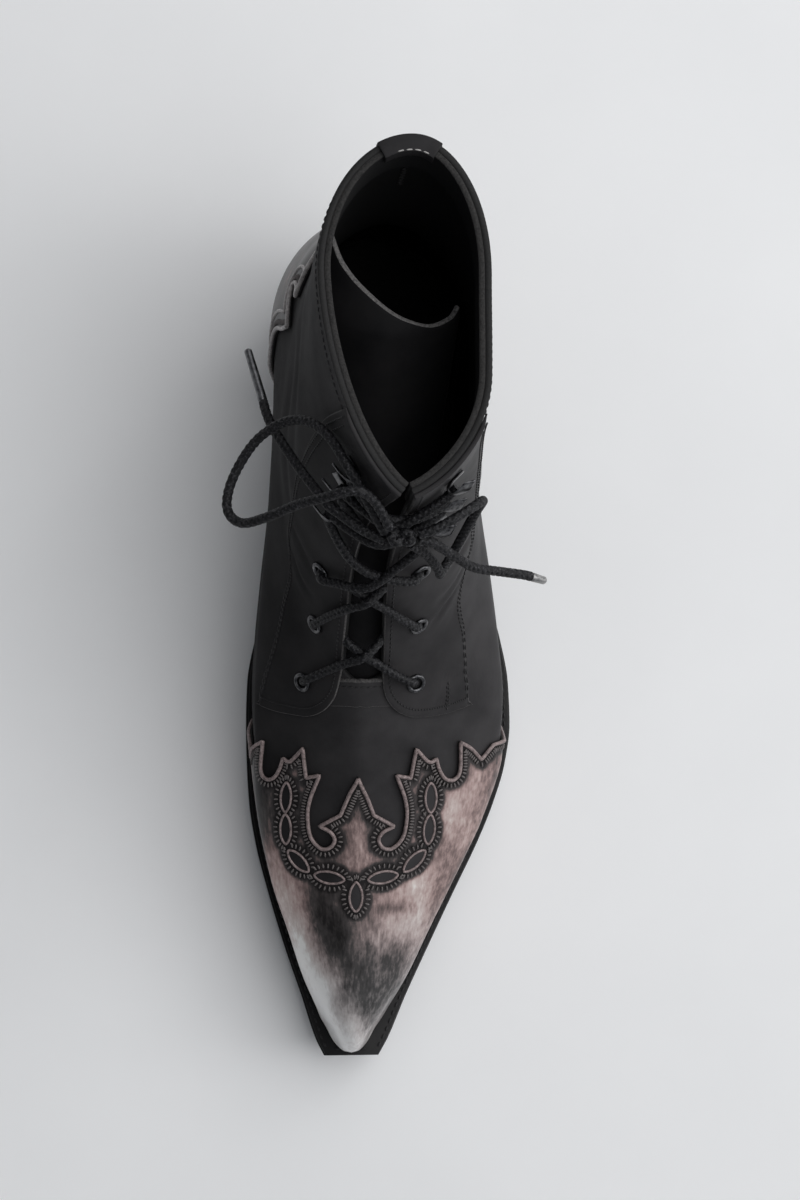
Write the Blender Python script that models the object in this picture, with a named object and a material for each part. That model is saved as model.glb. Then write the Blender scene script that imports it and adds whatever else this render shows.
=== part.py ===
"""Lace-up western boot for the left foot: a hollow leather upper on a welted sole with a stacked heel.

Tables and helper functions work in millimetres; meshes are written in metres.
+X is the lateral side, -Y points to the toe, +Z is up, and the boot stands on z = 0.
"""

import math

import bmesh
import bpy
import numpy as np
from mathutils import Vector, geometry

# Driving dimensions, in millimetres
MM = 0.001
GAP = 0.3
WALL = 2.0
OVERLAY = 1.2
OVERLAY_LIFT = 0.75
TOE_Y = -153.0
HEEL_Y = 147.0
OUTSOLE_THICK = 4.5
WELT_THICK = 3.0
WELT_STEP = 0.8
INSOLE_THICK = 2.5
INSOLE_EASE = 1.7
LIFT_THICK = 6.0
HEEL_BREAST_Y = 80.0
ANKLE_Z = 115.0
COLLAR_Z = 187.0
BULGE_RISE = 16.0
THROAT_LEVEL = 0.5
LACE_D = 3.2
EYELET_OUTER = 3.5
EYELET_INNER = 2.0
EYELET_RISE = 1.1
AGLET_D = 3.0

# Height of the feather edge, where the upper meets the welt, along the boot
RISE = (
    # y, height
    (-153, 19.5),
    (-125, 13.4),
    (-95, 9.2),
    (-62, 7.5),
    (-22, 7.5),
    (10, 12.5),
    (40, 25.5),
    (70, 39.5),
    (92, 45.0),
    (112, 46.0),
    (150, 46.0),
)

# Plan of the outsole: x of the medial and the lateral edge
SOLE_PLAN = (
    # y, medial, lateral
    (-153, -20.4, -0.3),
    (-147, -23.4, 3.2),
    (-132, -28.4, 10.0),
    (-114, -34.6, 18.8),
    (-92, -41.2, 29.6),
    (-77, -45.0, 37.0),
    (-62, -47.4, 43.2),
    (-47, -48.3, 47.6),
    (-33, -48.6, 49.4),
    (-18, -48.2, 48.8),
    (0, -45.0, 45.2),
    (20, -38.8, 38.5),
    (50, -31.5, 29.5),
    (80, -33.5, 27.2),
    (110, -38.0, 30.0),
    (147, -38.0, 30.0),
)
SOLE_BACK_RADIUS = 37.0

# Upper's side profile: the front ridge and the back seam, from the feather edge (0) to the collar (1)
PROFILE = (
    # level, front_y, front_z, back_y, back_z
    (0.00, -150.4, 19.4, 143.5, 46.3),
    (0.06, -145.5, 32.0, 145.5, 56.0),
    (0.15, -121.0, 40.5, 146.2, 66.0),
    (0.25, -93.0, 47.5, 145.0, 80.0),
    (0.35, -61.0, 57.0, 142.5, 95.0),
    (0.45, -31.0, 69.0, 140.0, 108.0),
    (0.50, -14.8, 77.0, 139.5, 115.0),
    (0.60, 5.0, 97.0, 140.5, 130.0),
    (0.70, 21.5, 120.0, 143.5, 145.0),
    (0.80, 34.0, 143.0, 147.0, 158.0),
    (0.90, 42.0, 165.0, 150.0, 173.0),
    (1.00, 45.5, 186.0, 153.0, 188.0),
)

# Upper's plan at the feather edge, at the bulge above it, and at the ankle
BODY_PLAN = (
    # y, feather medial, feather lateral, bulge medial, bulge lateral, ankle medial, ankle lateral
    (-151, -19.0, -3.6, -19.4, -3.2, -19.4, -3.2),
    (-143, -19.0, -2.9, -19.4, -2.5, -19.4, -2.5),
    (-136, -21.0, 0.2, -21.5, 0.7, -21.2, 0.5),
    (-122, -26.2, 7.2, -27.0, 7.7, -26.5, 7.3),
    (-105, -31.6, 14.6, -32.5, 15.2, -31.5, 14.6),
    (-86, -37.6, 23.4, -38.7, 24.2, -36.5, 23.0),
    (-63, -42.0, 33.4, -43.5, 34.6, -39.5, 32.2),
    (-40, -44.2, 40.2, -46.0, 41.4, -40.0, 36.2),
    (-20, -44.0, 41.6, -46.8, 42.8, -39.5, 35.8),
    (0, -41.5, 39.0, -45.8, 40.8, -38.5, 34.0),
    (20, -37.0, 34.5, -44.0, 38.0, -37.8, 31.5),
    (50, -31.5, 28.5, -41.2, 32.6, -36.5, 28.5),
    (80, -33.0, 26.5, -40.0, 30.0, -35.0, 26.0),
    (110, -36.5, 29.0, -39.5, 29.6, -33.5, 24.6),
    (150, -36.5, 29.0, -39.5, 29.6, -33.0, 24.2),
)
COLLAR_MEDIAL = -30.2
COLLAR_LATERAL = 22.4

# Middle line of the boot, at the front ridge and at the back seam
AXIS = (
    # z, front x, back x
    (20, -10.6, -4.0),
    (115, -10.4, -4.0),
    (142, -8.4, -3.4),
    (170, -4.4, -2.2),
    (187, -2.8, -1.6),
)

# How far the sections take to round off behind the front ridge and before the back seam
ROUNDING = (
    # z, front medial, front lateral, front power, back
    (19, 13, 13, 0.50, 37),
    (30, 34, 36, 0.50, 38),
    (40, 80, 80, 0.52, 39),
    (50, 108, 108, 0.55, 40),
    (60, 116, 116, 0.58, 40),
    (75, 100, 96, 0.60, 40),
    (100, 66, 60, 0.60, 40),
    (130, 52, 46, 0.60, 40),
    (160, 58, 40, 0.66, 40),
    (187, 75, 37, 0.75, 41),
)

# Half width of the slit between the facings
SLIT = (
    # level, half width
    (0.0, 3.0),
    (0.5, 7.8),
    (0.6, 6.9),
    (0.7, 6.2),
    (0.8, 5.6),
    (0.9, 4.0),
    (1.0, 2.2),
)

# Rows and columns of the upper's mesh
UPPER_LEVELS = (
    0, 0.02, 0.045, 0.075, 0.11, 0.15, 0.19, 0.23, 0.27, 0.31, 0.35, 0.39, 0.43, 0.47,
    0.5, 0.55, 0.60, 0.66, 0.72, 0.78, 0.84, 0.90, 0.95, 1,
)
SIDE_COLUMNS = 22
SLIT_COLUMNS = 2
PATCH_STEP = 0.035
PATCH_MARGIN = 0.008

# Flame edge of the toe cap, one half: distance across the vamp from the ridge, and place along it
TOE_FLAME = (
    # across, y
    (0, -47.5),
    (3.4, -53.5),
    (5.5, -60.5),
    (13, -64),
    (9.5, -66.5),
    (8, -69),
    (9.5, -71.5),
    (13, -71.5),
    (17, -67.5),
    (17.5, -61.5),
    (16, -54),
    (13, -46),
    (18.5, -46.8),
    (19.6, -37),
    (26.5, -42.5),
    (29.5, -40.5),
    (32.3, -47.5),
    (35.8, -46.5),
    (36.4, -34.5),
    (41, -37),
    (46.5, -41.5),
)
TOE_FLAME_END_Y = -30.0

# Flame edge of the heel counter, one half: share of the way from the back seam, and level
HEEL_FLAME = (
    # around, level
    (0, 0.60),
    (0.045, 0.54),
    (0.088, 0.58),
    (0.18, 0.54),
    (0.272, 0.49),
    (0.228, 0.385),
    (0.302, 0.435),
    (0.276, 0.29),
    (0.272, 0.22),
    (0.29, 0.075),
)
FLAME_FOOT_LEVEL = 0.012

# Lower edge of a facing: distance across from the ridge, and place along it
FACING_FOOT = (
    # across, y
    (7.9, -15.5),
    (9.2, -19.5),
    (12.4, -23.4),
    (17, -25.6),
    (22, -26),
    (32, -25),
    (44, -22.5),
)
FACING_SIDE = (
    # level, share of the way from front to back on the lateral and on the medial side
    (0.22, 0.300, 0.360),
    (0.32, 0.315, 0.395),
    (0.40, 0.360, 0.410),
    (0.60, 0.360, 0.385),
    (0.80, 0.340, 0.355),
    (1.00, 0.320, 0.330),
)

# Places of the eyelets and of the hooks above them: along the boot, and across it from the ridge
EYELETS = (
    # row, y, medial, lateral
    ("low", -14.0, 22.0, 19.4),
    ("mid", 6.5, 22.5, 20.3),
    ("top", 24.5, 22.5, 18.8),
)
HOOKS = (
    # row, level, distance from the middle line
    ("low", 0.785, 19.5),
    ("mid", 0.86, 19.0),
    ("top", 0.93, 18.5),
)

# Side view of a hook's bent strip: away from the slit, and out from the leather
HOOK_PATH = ((3.6, 0.5), (-2.6, 0.5), (-4.0, 1.6), (-3.6, 3.4), (-1.0, 4.4), (4.2, 5.2))
HOOK_THICK = 0.9
HOOK_WIDTH = 4.4

# Tongue: its middle line, half width and the fall of its edges behind the middle
TONGUE = (
    # y, z, x, half width, fall
    (-25, 68.3, -9.8, 15, 7.2),
    (-13, 74.2, -9.4, 16, 9.8),
    (5, 86.2, -9.0, 17, 11.8),
    (30, 105, -8.6, 19, 11.5),
    (60, 128, -7.2, 20, 10.5),
    (97, 157, -4.8, 21, 10),
)
TONGUE_THICK = 2.0

# Lacing: height of the cord above the leather, and how far it keeps from eyelets and hooks
LACE_LIFT = 4.05
DIVE_LIFT = 1.0
EYELET_CLEAR = 5.9
HOOK_CLEAR = 7.2
HOOK_STEP = 0.012
STRAND_POINTS = 7

# Bow: the knot, and the routes of the loops and ends that leave it
KNOT_CENTRE = (-3.6, 33.6, 169.5)
KNOT_HALF = (4.6, 3.2, 4.2)
LOOP_MEDIAL = (
    (-7.2, 36.2, 173.4),
    (-12.0, 43.8, 179.5),
    (-16.9, 47.2, 183.0),
    (-22.8, 46.8, 182.0),
    (-27.0, 45.6, 178.5),
    (-35.1, 43.6, 170.0),
    (-44.3, 40.0, 162.0),
    (-52.1, 38.3, 155.0),
    (-56.4, 42.2, 150.0),
    (-55.8, 49.7, 148.5),
    (-51.7, 58.4, 150.0),
    (-46.3, 65.2, 153.0),
    (-39.1, 69.4, 158.0),
    (-33.4, 69.7, 164.0),
    (-28.6, 67.0, 170.0),
    (-24.6, 62.3, 175.0),
    (-20.5, 54.8, 178.5),
    (-16.7, 48.8, 177.0),
    (-12.3, 41.0, 173.4),
    (-8.6, 35.0, 170.4),
)
END_MEDIAL = (
    (-8.4, 32.6, 167.2),
    (-15.4, 36.0, 166.9),
    (-21.9, 40.6, 166.2),
    (-25.8, 43.6, 165.2),
    (-29.7, 48.8, 162.5),
    (-35.3, 56.7, 155.5),
    (-40.2, 64.8, 149.0),
    (-42.4, 68.7, 146.0),
    (-44.2, 73.3, 143.0),
    (-45.1, 76.8, 141.0),
)
AGLET_MEDIAL = ((-45.2, 77.1, 140.8), (-49.9, 94.2, 131.0))
LOOP_LATERAL = (
    (1.6, 34.4, 171.4),
    (6.7, 36.2, 172.2),
    (13.0, 39.6, 171.8),
    (18.6, 43.0, 169.2),
    (21.9, 45.0, 164.0),
    (22.4, 44.6, 157.8),
    (21.0, 41.4, 150.6),
    (18.8, 36.2, 142.8),
    (16.2, 30.6, 137.4),
    (13.5, 25.9, 136.6),
    (11.0, 22.7, 140.8),
    (10.4, 22.9, 146.8),
    (8.2, 25.6, 152.8),
    (4.4, 29.0, 158.8),
    (-0.4, 31.6, 165.2),
)
END_LATERAL = (
    (1.6, 32.8, 168.2),
    (6.4, 32.0, 166.0),
    (14.3, 27.7, 158.5),
    (20.9, 24.5, 151.5),
    (30.7, 23.2, 143.0),
    (38.0, 22.3, 138.0),
    (40.5, 21.8, 136.3),
)
AGLET_LATERAL = ((40.8, 21.7, 136.1), (45.6, 20.4, 132.8))
CORD_STEP = 2.5 * LACE_D


def smooth_curve(points):
    """A smooth curve through (place, value) points that doesn't overshoot between them."""
    places = np.array([p[0] for p in points], float)
    values = np.array([p[1] for p in points], float)
    steps = np.diff(places)
    slopes = np.diff(values) / steps
    tangents = np.concatenate((slopes[:1], np.zeros(len(slopes) - 1), slopes[-1:]))
    for i in range(1, len(slopes)):
        if slopes[i - 1] * slopes[i] > 0:
            tangents[i] = 2 * slopes[i - 1] * slopes[i] / (slopes[i - 1] + slopes[i])

    def value(at):
        at = np.clip(at, places[0], places[-1])
        i = np.clip(np.searchsorted(places, at, side="right") - 1, 0, len(steps) - 1)
        u = (at - places[i]) / steps[i]
        rest = 1 - u
        start = values[i] * (1 + 2 * u) * rest**2 + tangents[i] * steps[i] * u * rest**2
        end = values[i + 1] * (1 + 2 * rest) * u**2 - tangents[i + 1] * steps[i] * rest * u**2
        return start + end

    return value


def columns(table, *which):
    """Smooth curves of the named columns of a table over its first column."""
    curves = [smooth_curve([(row[0], row[c]) for row in table]) for c in which]
    return curves if len(curves) > 1 else curves[0]


rise = columns(RISE, 1)
sole_medial, sole_lateral = columns(SOLE_PLAN, 1, 2)
front_y, front_z, back_y, back_z = columns(PROFILE, 1, 2, 3, 4)
body_columns = columns(BODY_PLAN, 1, 2, 3, 4, 5, 6)
axis_front, axis_back = columns(AXIS, 1, 2)
round_medial, round_lateral, round_power, round_back = columns(ROUNDING, 1, 2, 3, 4)
slit_half = columns(SLIT, 1)
facing_lateral_side, facing_medial_side = columns(FACING_SIDE, 1, 2)
ALL_LEVELS = np.linspace(0, 1, 2001)


def ridge_at(z):
    """Place along the boot where the front ridge reaches a height."""
    return np.interp(z, front_z(ALL_LEVELS), front_y(ALL_LEVELS))


def ridge_level(y):
    """Level of the front ridge at a place along the boot."""
    return np.interp(y, front_y(ALL_LEVELS), ALL_LEVELS)


def back_at(z):
    """Place along the boot of the back seam at a height."""
    return np.interp(z, back_z(ALL_LEVELS), back_y(ALL_LEVELS))


def between_heights(y, z, feather, bulge, ankle, collar):
    """Blends four plan values by height, smoothly and without overshoot."""
    floor = rise(y)
    values = np.stack(np.broadcast_arrays(feather, bulge, ankle, collar))
    knots = np.stack(np.broadcast_arrays(floor, floor + BULGE_RISE, ANKLE_Z, COLLAR_Z))
    slopes = np.diff(values, axis=0)
    product = slopes[:-1] * slopes[1:]
    total = slopes[:-1] + slopes[1:]
    inner = np.where(product > 0, 2 * product / np.where(product > 0, total, 1), 0)
    tangents = np.concatenate((slopes[:1], inner, slopes[-1:]))
    result = values[0]
    for i in range(3):
        u = np.clip((z - knots[i]) / (knots[i + 1] - knots[i]), 0, 1)
        rest = 1 - u
        piece = values[i] * (1 + 2 * u) * rest**2 + tangents[i] * u * rest**2
        piece = piece + values[i + 1] * (1 + 2 * rest) * u**2 - tangents[i + 1] * rest * u**2
        result = np.where(z >= knots[i], piece, result)
    return result


def rounded(distance, power):
    """Grows from 0 at the edge to 1 one radius inside it."""
    return (1 - (1 - np.clip(distance, 0, 1)) ** 2) ** power


def skin(level, around):
    """Points of the upper's outer surface.

    level runs from the feather edge (0) to the collar (1). around runs from the front ridge (0) to the
    back seam, at 1 along the lateral side and at -1 along the medial side.
    """
    level, around = np.broadcast_arrays(np.asarray(level, float), np.asarray(around, float))
    share = (1 - np.cos(np.pi * np.abs(around))) / 2
    fy, fz, by, bz = front_y(level), front_z(level), back_y(level), back_z(level)
    y = fy + (by - fy) * share
    front_base = (1 - level) * rise(fy) + level * COLLAR_Z
    back_base = (1 - level) * rise(by) + level * COLLAR_Z
    base = (1 - level) * rise(y) + level * COLLAR_Z
    z = base + (fz - front_base) * (1 - share) + (bz - back_base) * share
    plan = [curve(y) for curve in body_columns]
    medial = between_heights(y, z, plan[0], plan[2], plan[4], COLLAR_MEDIAL)
    lateral = between_heights(y, z, plan[1], plan[3], plan[5], COLLAR_LATERAL)
    middle = axis_front(z) + (axis_back(z) - axis_front(z)) * share
    ahead = y - ridge_at(z)
    behind = rounded((back_at(z) - y) / round_back(z), 0.5)
    power = round_power(z)
    to_lateral = (lateral - middle) * rounded(ahead / round_lateral(z), power) * behind
    to_medial = (medial - middle) * rounded(ahead / round_medial(z), power) * behind
    x = middle + np.where(around >= 0, to_lateral, to_medial)
    return np.stack((x, y, z), axis=-1)


def wrapped(around):
    """Brings a place past the back seam onto the other side."""
    return (np.asarray(around, float) + 1) % 2 - 1


def skin_normal(level, around):
    """Outward unit normals of the upper's surface."""
    small = 0.004
    level = np.asarray(level, float)
    around = np.asarray(around, float)
    up = skin(np.minimum(level + small, 1), around) - skin(np.maximum(level - small, 0), around)
    along = skin(level, wrapped(around + small)) - skin(level, wrapped(around - small))
    normal = np.cross(along, up)
    return normal / np.linalg.norm(normal, axis=-1, keepdims=True)


def on_skin(level, around, lift):
    """Points at a height above the upper's outer surface."""
    return skin(level, around) + skin_normal(level, around) * lift


def along_ring(level, distance, side):
    """Place around the boot at a distance from the ridge, measured along one level."""
    steps = np.linspace(0, 0.7, 141)
    points = skin(level, steps * side)
    lengths = np.concatenate(([0], np.cumsum(np.linalg.norm(np.diff(points, axis=0), axis=1))))
    return float(np.interp(distance, lengths, steps)) * side


def across_vamp(y, distance, side):
    """Level and place around at a distance from the ridge, measured across one section."""
    top = float(ridge_level(y))
    levels = np.linspace(top, 0, 121)
    share = np.clip((y - front_y(levels)) / (back_y(levels) - front_y(levels)), 0, 1)
    around = np.arccos(1 - 2 * share) / np.pi * side
    points = skin(levels, around)
    lengths = np.concatenate(([0], np.cumsum(np.linalg.norm(np.diff(points, axis=0), axis=1))))
    return float(np.interp(distance, lengths, levels)), float(np.interp(distance, lengths, around))


def slit_around(level, side):
    """Place around the boot of the slit's edge, or of its continuation down the vamp."""
    return along_ring(level, float(slit_half(level)), side)


def column_places(level, side):
    """Places around the boot of the upper's mesh columns at one level, from the ridge to the back."""
    edge = abs(slit_around(level, side))
    front = [edge * i / SLIT_COLUMNS for i in range(SLIT_COLUMNS)]
    rest = np.linspace(edge, 1, SIDE_COLUMNS - SLIT_COLUMNS + 1)
    return [side * place for place in (*front, *rest)]


def material(name, colour, roughness, metallic=0.0):
    """A plain material with the part's colour."""
    made = bpy.data.materials.new(name)
    made.use_nodes = True
    shader = made.node_tree.nodes["Principled BSDF"]
    shader.inputs["Base Color"].default_value = (*colour, 1)
    shader.inputs["Roughness"].default_value = roughness
    shader.inputs["Metallic"].default_value = metallic
    return made


def add_mesh(name, points, faces, finish):
    """A named object from points in millimetres, with its faces turned outwards."""
    mesh = bpy.data.meshes.new(name)
    mesh.from_pydata([tuple(p) for p in np.asarray(points) * MM], [], faces)
    shape = bmesh.new()
    shape.from_mesh(mesh)
    bmesh.ops.recalc_face_normals(shape, faces=shape.faces)
    shape.to_mesh(mesh)
    shape.free()
    mesh.shade_smooth()
    mesh.set_sharp_from_angle(angle=math.radians(35))
    made = bpy.data.objects.new(name, mesh)
    made.data.materials.append(finish)
    bpy.context.scene.collection.objects.link(made)
    return made


def sheet_faces(faces, count):
    """Faces of a closed sheet: the outer faces, the same ones turned over, and a rim between them."""
    edges = {}
    for face in faces:
        for a, b in zip(face, face[1:] + face[:1]):
            edges[(a, b)] = edges.get((a, b), 0) + 1
    rim = [(a, b, b + count, a + count) for a, b in edges if (b, a) not in edges]
    under = [tuple(i + count for i in reversed(face)) for face in faces]
    return [*faces, *under, *rim]


def skin_sheet(name, places, faces, low, high, finish):
    """A closed sheet between two heights above the upper's surface; places are (level, around)."""
    level = np.array([p[0] for p in places])
    around = np.array([p[1] for p in places])
    points = np.concatenate((on_skin(level, around, high), on_skin(level, around, low)))
    return add_mesh(name, points, sheet_faces(faces, len(places)), finish)


def make_upper(finish):
    """The hollow wall: a grid around the boot with the slit left open above the throat."""
    places = []
    for level in UPPER_LEVELS:
        lateral = column_places(level, 1)
        medial = column_places(level, -1)
        places += [(level, around) for around in (*lateral, *medial[-2:0:-1])]
    ring = 2 * SIDE_COLUMNS
    faces = []
    for row, level in enumerate(UPPER_LEVELS[:-1]):
        for column in range(ring):
            in_slit = column < SLIT_COLUMNS or column >= ring - SLIT_COLUMNS
            if in_slit and level >= THROAT_LEVEL:
                continue
            after = (column + 1) % ring
            low = row * ring
            high = low + ring
            faces.append((low + column, low + after, high + after, high + column))
    used = sorted({i for face in faces for i in face})
    renumber = {old: new for new, old in enumerate(used)}
    faces = [tuple(renumber[i] for i in face) for face in faces]
    return skin_sheet("upper", [places[i] for i in used], faces, -WALL, 0, finish)


def refined(outline):
    """An outline with its long edges cut up, so that they follow the curved surface."""
    result = []
    for (l0, a0), (l1, a1) in zip(outline, outline[1:] + outline[:1]):
        cuts = max(1, math.ceil(math.hypot(l1 - l0, a1 - a0) / PATCH_STEP))
        result += [(l0 + (l1 - l0) * i / cuts, a0 + (a1 - a0) * i / cuts) for i in range(cuts)]
    return result


def patch(outline, grid):
    """Triangles over an outline of (level, around) places, following a grid inside it."""
    outline = refined(outline)
    inner = [place for place in grid if inside(outline, place, PATCH_MARGIN)]
    flat = [Vector((around, level)) for level, around in (*outline, *inner)]
    border = list(range(len(outline)))
    edges = [(i, (i + 1) % len(outline)) for i in border]
    points, _, faces, *_ = geometry.delaunay_2d_cdt(flat, edges, [border], 1, 1e-6)
    return [(p[1], p[0]) for p in points], [tuple(face) for face in faces]


def inside(outline, place, margin):
    """Whether a place lies inside an outline, and at least a margin from its edges."""
    level, around = place
    crossings = 0
    for (l0, a0), (l1, a1) in zip(outline, outline[1:] + outline[:1]):
        run = (a1 - a0, l1 - l0)
        size = run[0] ** 2 + run[1] ** 2
        share = ((around - a0) * run[0] + (level - l0) * run[1]) / max(size, 1e-12)
        share = min(1, max(0, share))
        gap = math.hypot(around - a0 - share * run[0], level - l0 - share * run[1])
        if gap < margin:
            return False
        if (l0 > level) != (l1 > level) and around < a0 + (level - l0) / (l1 - l0) * run[0]:
            crossings += 1
    return crossings % 2 == 1


def grid_places(levels, turn_back=False):
    """Places of the upper's own mesh, so that an overlay follows the same facets."""
    places = []
    for level in levels:
        for side in (1, -1):
            for around in column_places(level, side):
                places.append((level, side * (1 - abs(around)) if turn_back else around))
    return sorted(set(places))


def make_toe_cap(finish):
    """Flame-edged wing tip over the front of the upper."""
    half = {}
    for side in (1, -1):
        edge = [across_vamp(y, across, side) for across, y in TOE_FLAME]
        end_share = (TOE_FLAME_END_Y - front_y(0)) / (back_y(0) - front_y(0))
        end = float(np.arccos(1 - 2 * end_share) / np.pi)
        feather = [(FLAME_FOOT_LEVEL, side * end * i / 14) for i in range(14, -1, -1)]
        half[side] = edge + feather
    outline = half[1] + half[-1][-2:0:-1]
    places, faces = patch(outline, grid_places(UPPER_LEVELS[1:13]))
    return skin_sheet("toe_cap", places, faces, OVERLAY_LIFT, OVERLAY_LIFT + OVERLAY, finish)


def make_heel_counter(finish):
    """Flame-edged overlay around the back of the heel."""
    lateral = [(level, around) for around, level in HEEL_FLAME]
    foot = [(FLAME_FOOT_LEVEL, 0.30 * i / 8) for i in range(8, -1, -1)]
    half = lateral + foot
    outline = half + [(level, -around) for level, around in half[-2:0:-1]]
    places, faces = patch(outline, grid_places(UPPER_LEVELS[1:17], True))
    turned = [(level, wrapped(1 - around)) for level, around in places]
    return skin_sheet("heel_counter", turned, faces, OVERLAY_LIFT, OVERLAY_LIFT + OVERLAY, finish)


def make_facing(name, side, finish):
    """Derby quarter front that carries the eyelets, from its rounded foot to the collar."""
    foot = [across_vamp(y, across, side) for across, y in FACING_FOOT]
    lowest = foot[-1][0]
    heights = [level for level in UPPER_LEVELS if level > THROAT_LEVEL]
    seam_share = facing_lateral_side if side > 0 else facing_medial_side
    seam = [(level, side * float(seam_share(level))) for level in UPPER_LEVELS if level > lowest + 0.02]
    edge = [(level, slit_around(level, side)) for level in reversed(heights)]
    collar_steps = 5
    collar = [
        (1.0, seam[-1][1] + (edge[0][1] - seam[-1][1]) * i / collar_steps) for i in range(1, collar_steps)
    ]
    outline = foot + seam + collar + edge
    places, faces = patch(outline, grid_places(UPPER_LEVELS[6:-1]))
    return skin_sheet(name, places, faces, OVERLAY_LIFT, OVERLAY_LIFT + OVERLAY, finish)


def make_back_tab(finish):
    """Leather tab folded over the collar at the back."""
    half_width = 0.12
    outer = [(0.86, GAP), (0.91, GAP), (0.955, GAP), (1.0, GAP)]
    inner = [(1.0, -WALL - GAP), (0.965, -WALL - GAP)]
    thick = 1.1
    steps = 8
    points = []
    for i in range(steps + 1):
        around = wrapped(1 + half_width * (2 * i / steps - 1))
        near = [on_skin(level, around, lift) for level, lift in outer + inner]
        far = [on_skin(level, around, lift + thick) for level, lift in outer]
        far += [on_skin(level, around, lift - thick) for level, lift in inner]
        for k in (3, 4):
            near[k] = near[k] + np.array((0, 0, GAP))
            far[k] = far[k] + np.array((0, 0, GAP + thick))
        points += near + far[::-1]
    loop = 2 * (len(outer) + len(inner))
    return add_mesh("back_tab", points, loft_faces(steps + 1, loop), finish)


def loft_faces(count, size):
    """Faces that join a row of equal loops, with both ends closed."""
    faces = [tuple(range(size)), tuple((count - 1) * size + i for i in range(size))]
    for row in range(count - 1):
        for i in range(size):
            after = (i + 1) % size
            low = row * size
            faces.append((low + i, low + after, low + size + after, low + size + i))
    return faces


def plate(name, medial, lateral, span, back_radius, bottom, top, finish, stations=40):
    """A plate whose plan runs from toe to heel and whose faces follow two height curves."""
    start, end = span
    points = []
    for i in range(stations):
        y = start + (end - start) * (1 - math.cos(math.pi * (i + 0.06) / (stations - 0.88))) / 2
        y = start if i == 0 else y
        middle = (medial(y) + lateral(y)) / 2
        share = rounded((end - y) / back_radius, 0.5) if back_radius else 1
        left = middle + (medial(y) - middle) * share
        right = middle + (lateral(y) - middle) * share
        points += [(left, y, bottom(y)), (right, y, bottom(y)), (right, y, top(y)), (left, y, top(y))]
    return add_mesh(name, points, loft_faces(stations, 4), finish)


def make_sole(sole_finish, insole_finish):
    """Outsole, welt and insole, one above the other along the same rise."""
    low = OUTSOLE_THICK + WELT_THICK

    def welt_medial(y):
        return sole_medial(y) + WELT_STEP

    def welt_lateral(y):
        return sole_lateral(y) - WELT_STEP

    def sole_bottom(y):
        return rise(y) - low

    def sole_top(y):
        return rise(y) - WELT_THICK - GAP

    def welt_bottom(y):
        return rise(y) - WELT_THICK

    def welt_top(y):
        return rise(y) - GAP

    span = (TOE_Y, HEEL_Y)
    welt_span = (TOE_Y + WELT_STEP, HEEL_Y - WELT_STEP)
    plate("outsole", sole_medial, sole_lateral, span, SOLE_BACK_RADIUS, sole_bottom, sole_top, sole_finish)
    plate("welt", welt_medial, welt_lateral, welt_span, SOLE_BACK_RADIUS, welt_bottom, welt_top, sole_finish)
    steps = 36
    points = []
    for i in range(steps + 1):
        around = 0.03 + 0.945 * i / steps
        row = [on_skin(0.0, around * side, -WALL - INSOLE_EASE) for side in (-1, 1)]
        for height, order in ((GAP, (0, 1)), (GAP + INSOLE_THICK, (1, 0))):
            points += [(row[k][0], row[k][1], rise(row[k][1]) + height) for k in order]
    add_mesh("insole", points, loft_faces(steps + 1, 4), insole_finish)


def heel_loop(z, front, back, scale, sides=18):
    """D-shaped section of the heel: a straight breast, and a round back."""
    half = []
    for i in range(sides + 1):
        y = front + (back - front) * math.sin(math.pi / 2 * i / sides)
        share = float(rounded((back - y) / (SOLE_BACK_RADIUS * scale), 0.5))
        half.append((y, max(share, 0.04)))
    middle = -4.0
    loop = [(middle + (float(sole_lateral(y)) - middle) * share * scale, y, z) for y, share in half]
    loop += [(middle + (float(sole_medial(y)) - middle) * share * scale, y, z) for y, share in half[::-1]]
    return loop


def make_heel(stack_finish, lift_finish):
    """Underslung heel: its back leans forward and its sides taper to the lift."""
    drop = OUTSOLE_THICK + WELT_THICK + GAP
    shape = (
        # share of the height, breast, back, scale
        (1.0, HEEL_BREAST_Y, 146.0, 0.98),
        (0.72, HEEL_BREAST_Y + 1.2, 141.5, 0.93),
        (0.4, HEEL_BREAST_Y + 2.6, 137.0, 0.88),
        (0.0, HEEL_BREAST_Y + 4.0, 133.5, 0.85),
    )
    points = []
    for share, front, back, scale in shape:
        loop = heel_loop(0, front, back, scale)
        for x, y, _ in loop:
            top = float(rise(y)) - drop
            low = LIFT_THICK + GAP
            points.append((x, y, low + (top - low) * share))
    size = len(points) // len(shape)
    half = size // 2
    faces = loft_faces(len(shape), size)[2:]
    for base in (0, (len(shape) - 1) * size):
        for i in range(half - 1):
            faces.append((base + i, base + i + 1, base + size - 2 - i, base + size - 1 - i))
    add_mesh("heel_stack", points, faces, stack_finish)
    base = shape[-1]
    loops = heel_loop(LIFT_THICK, base[1], base[2], base[3]) + heel_loop(0.0, base[1] + 0.4, base[2] - 0.6, 0.84)
    add_mesh("heel_lift", loops, loft_faces(2, size), lift_finish)


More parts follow.
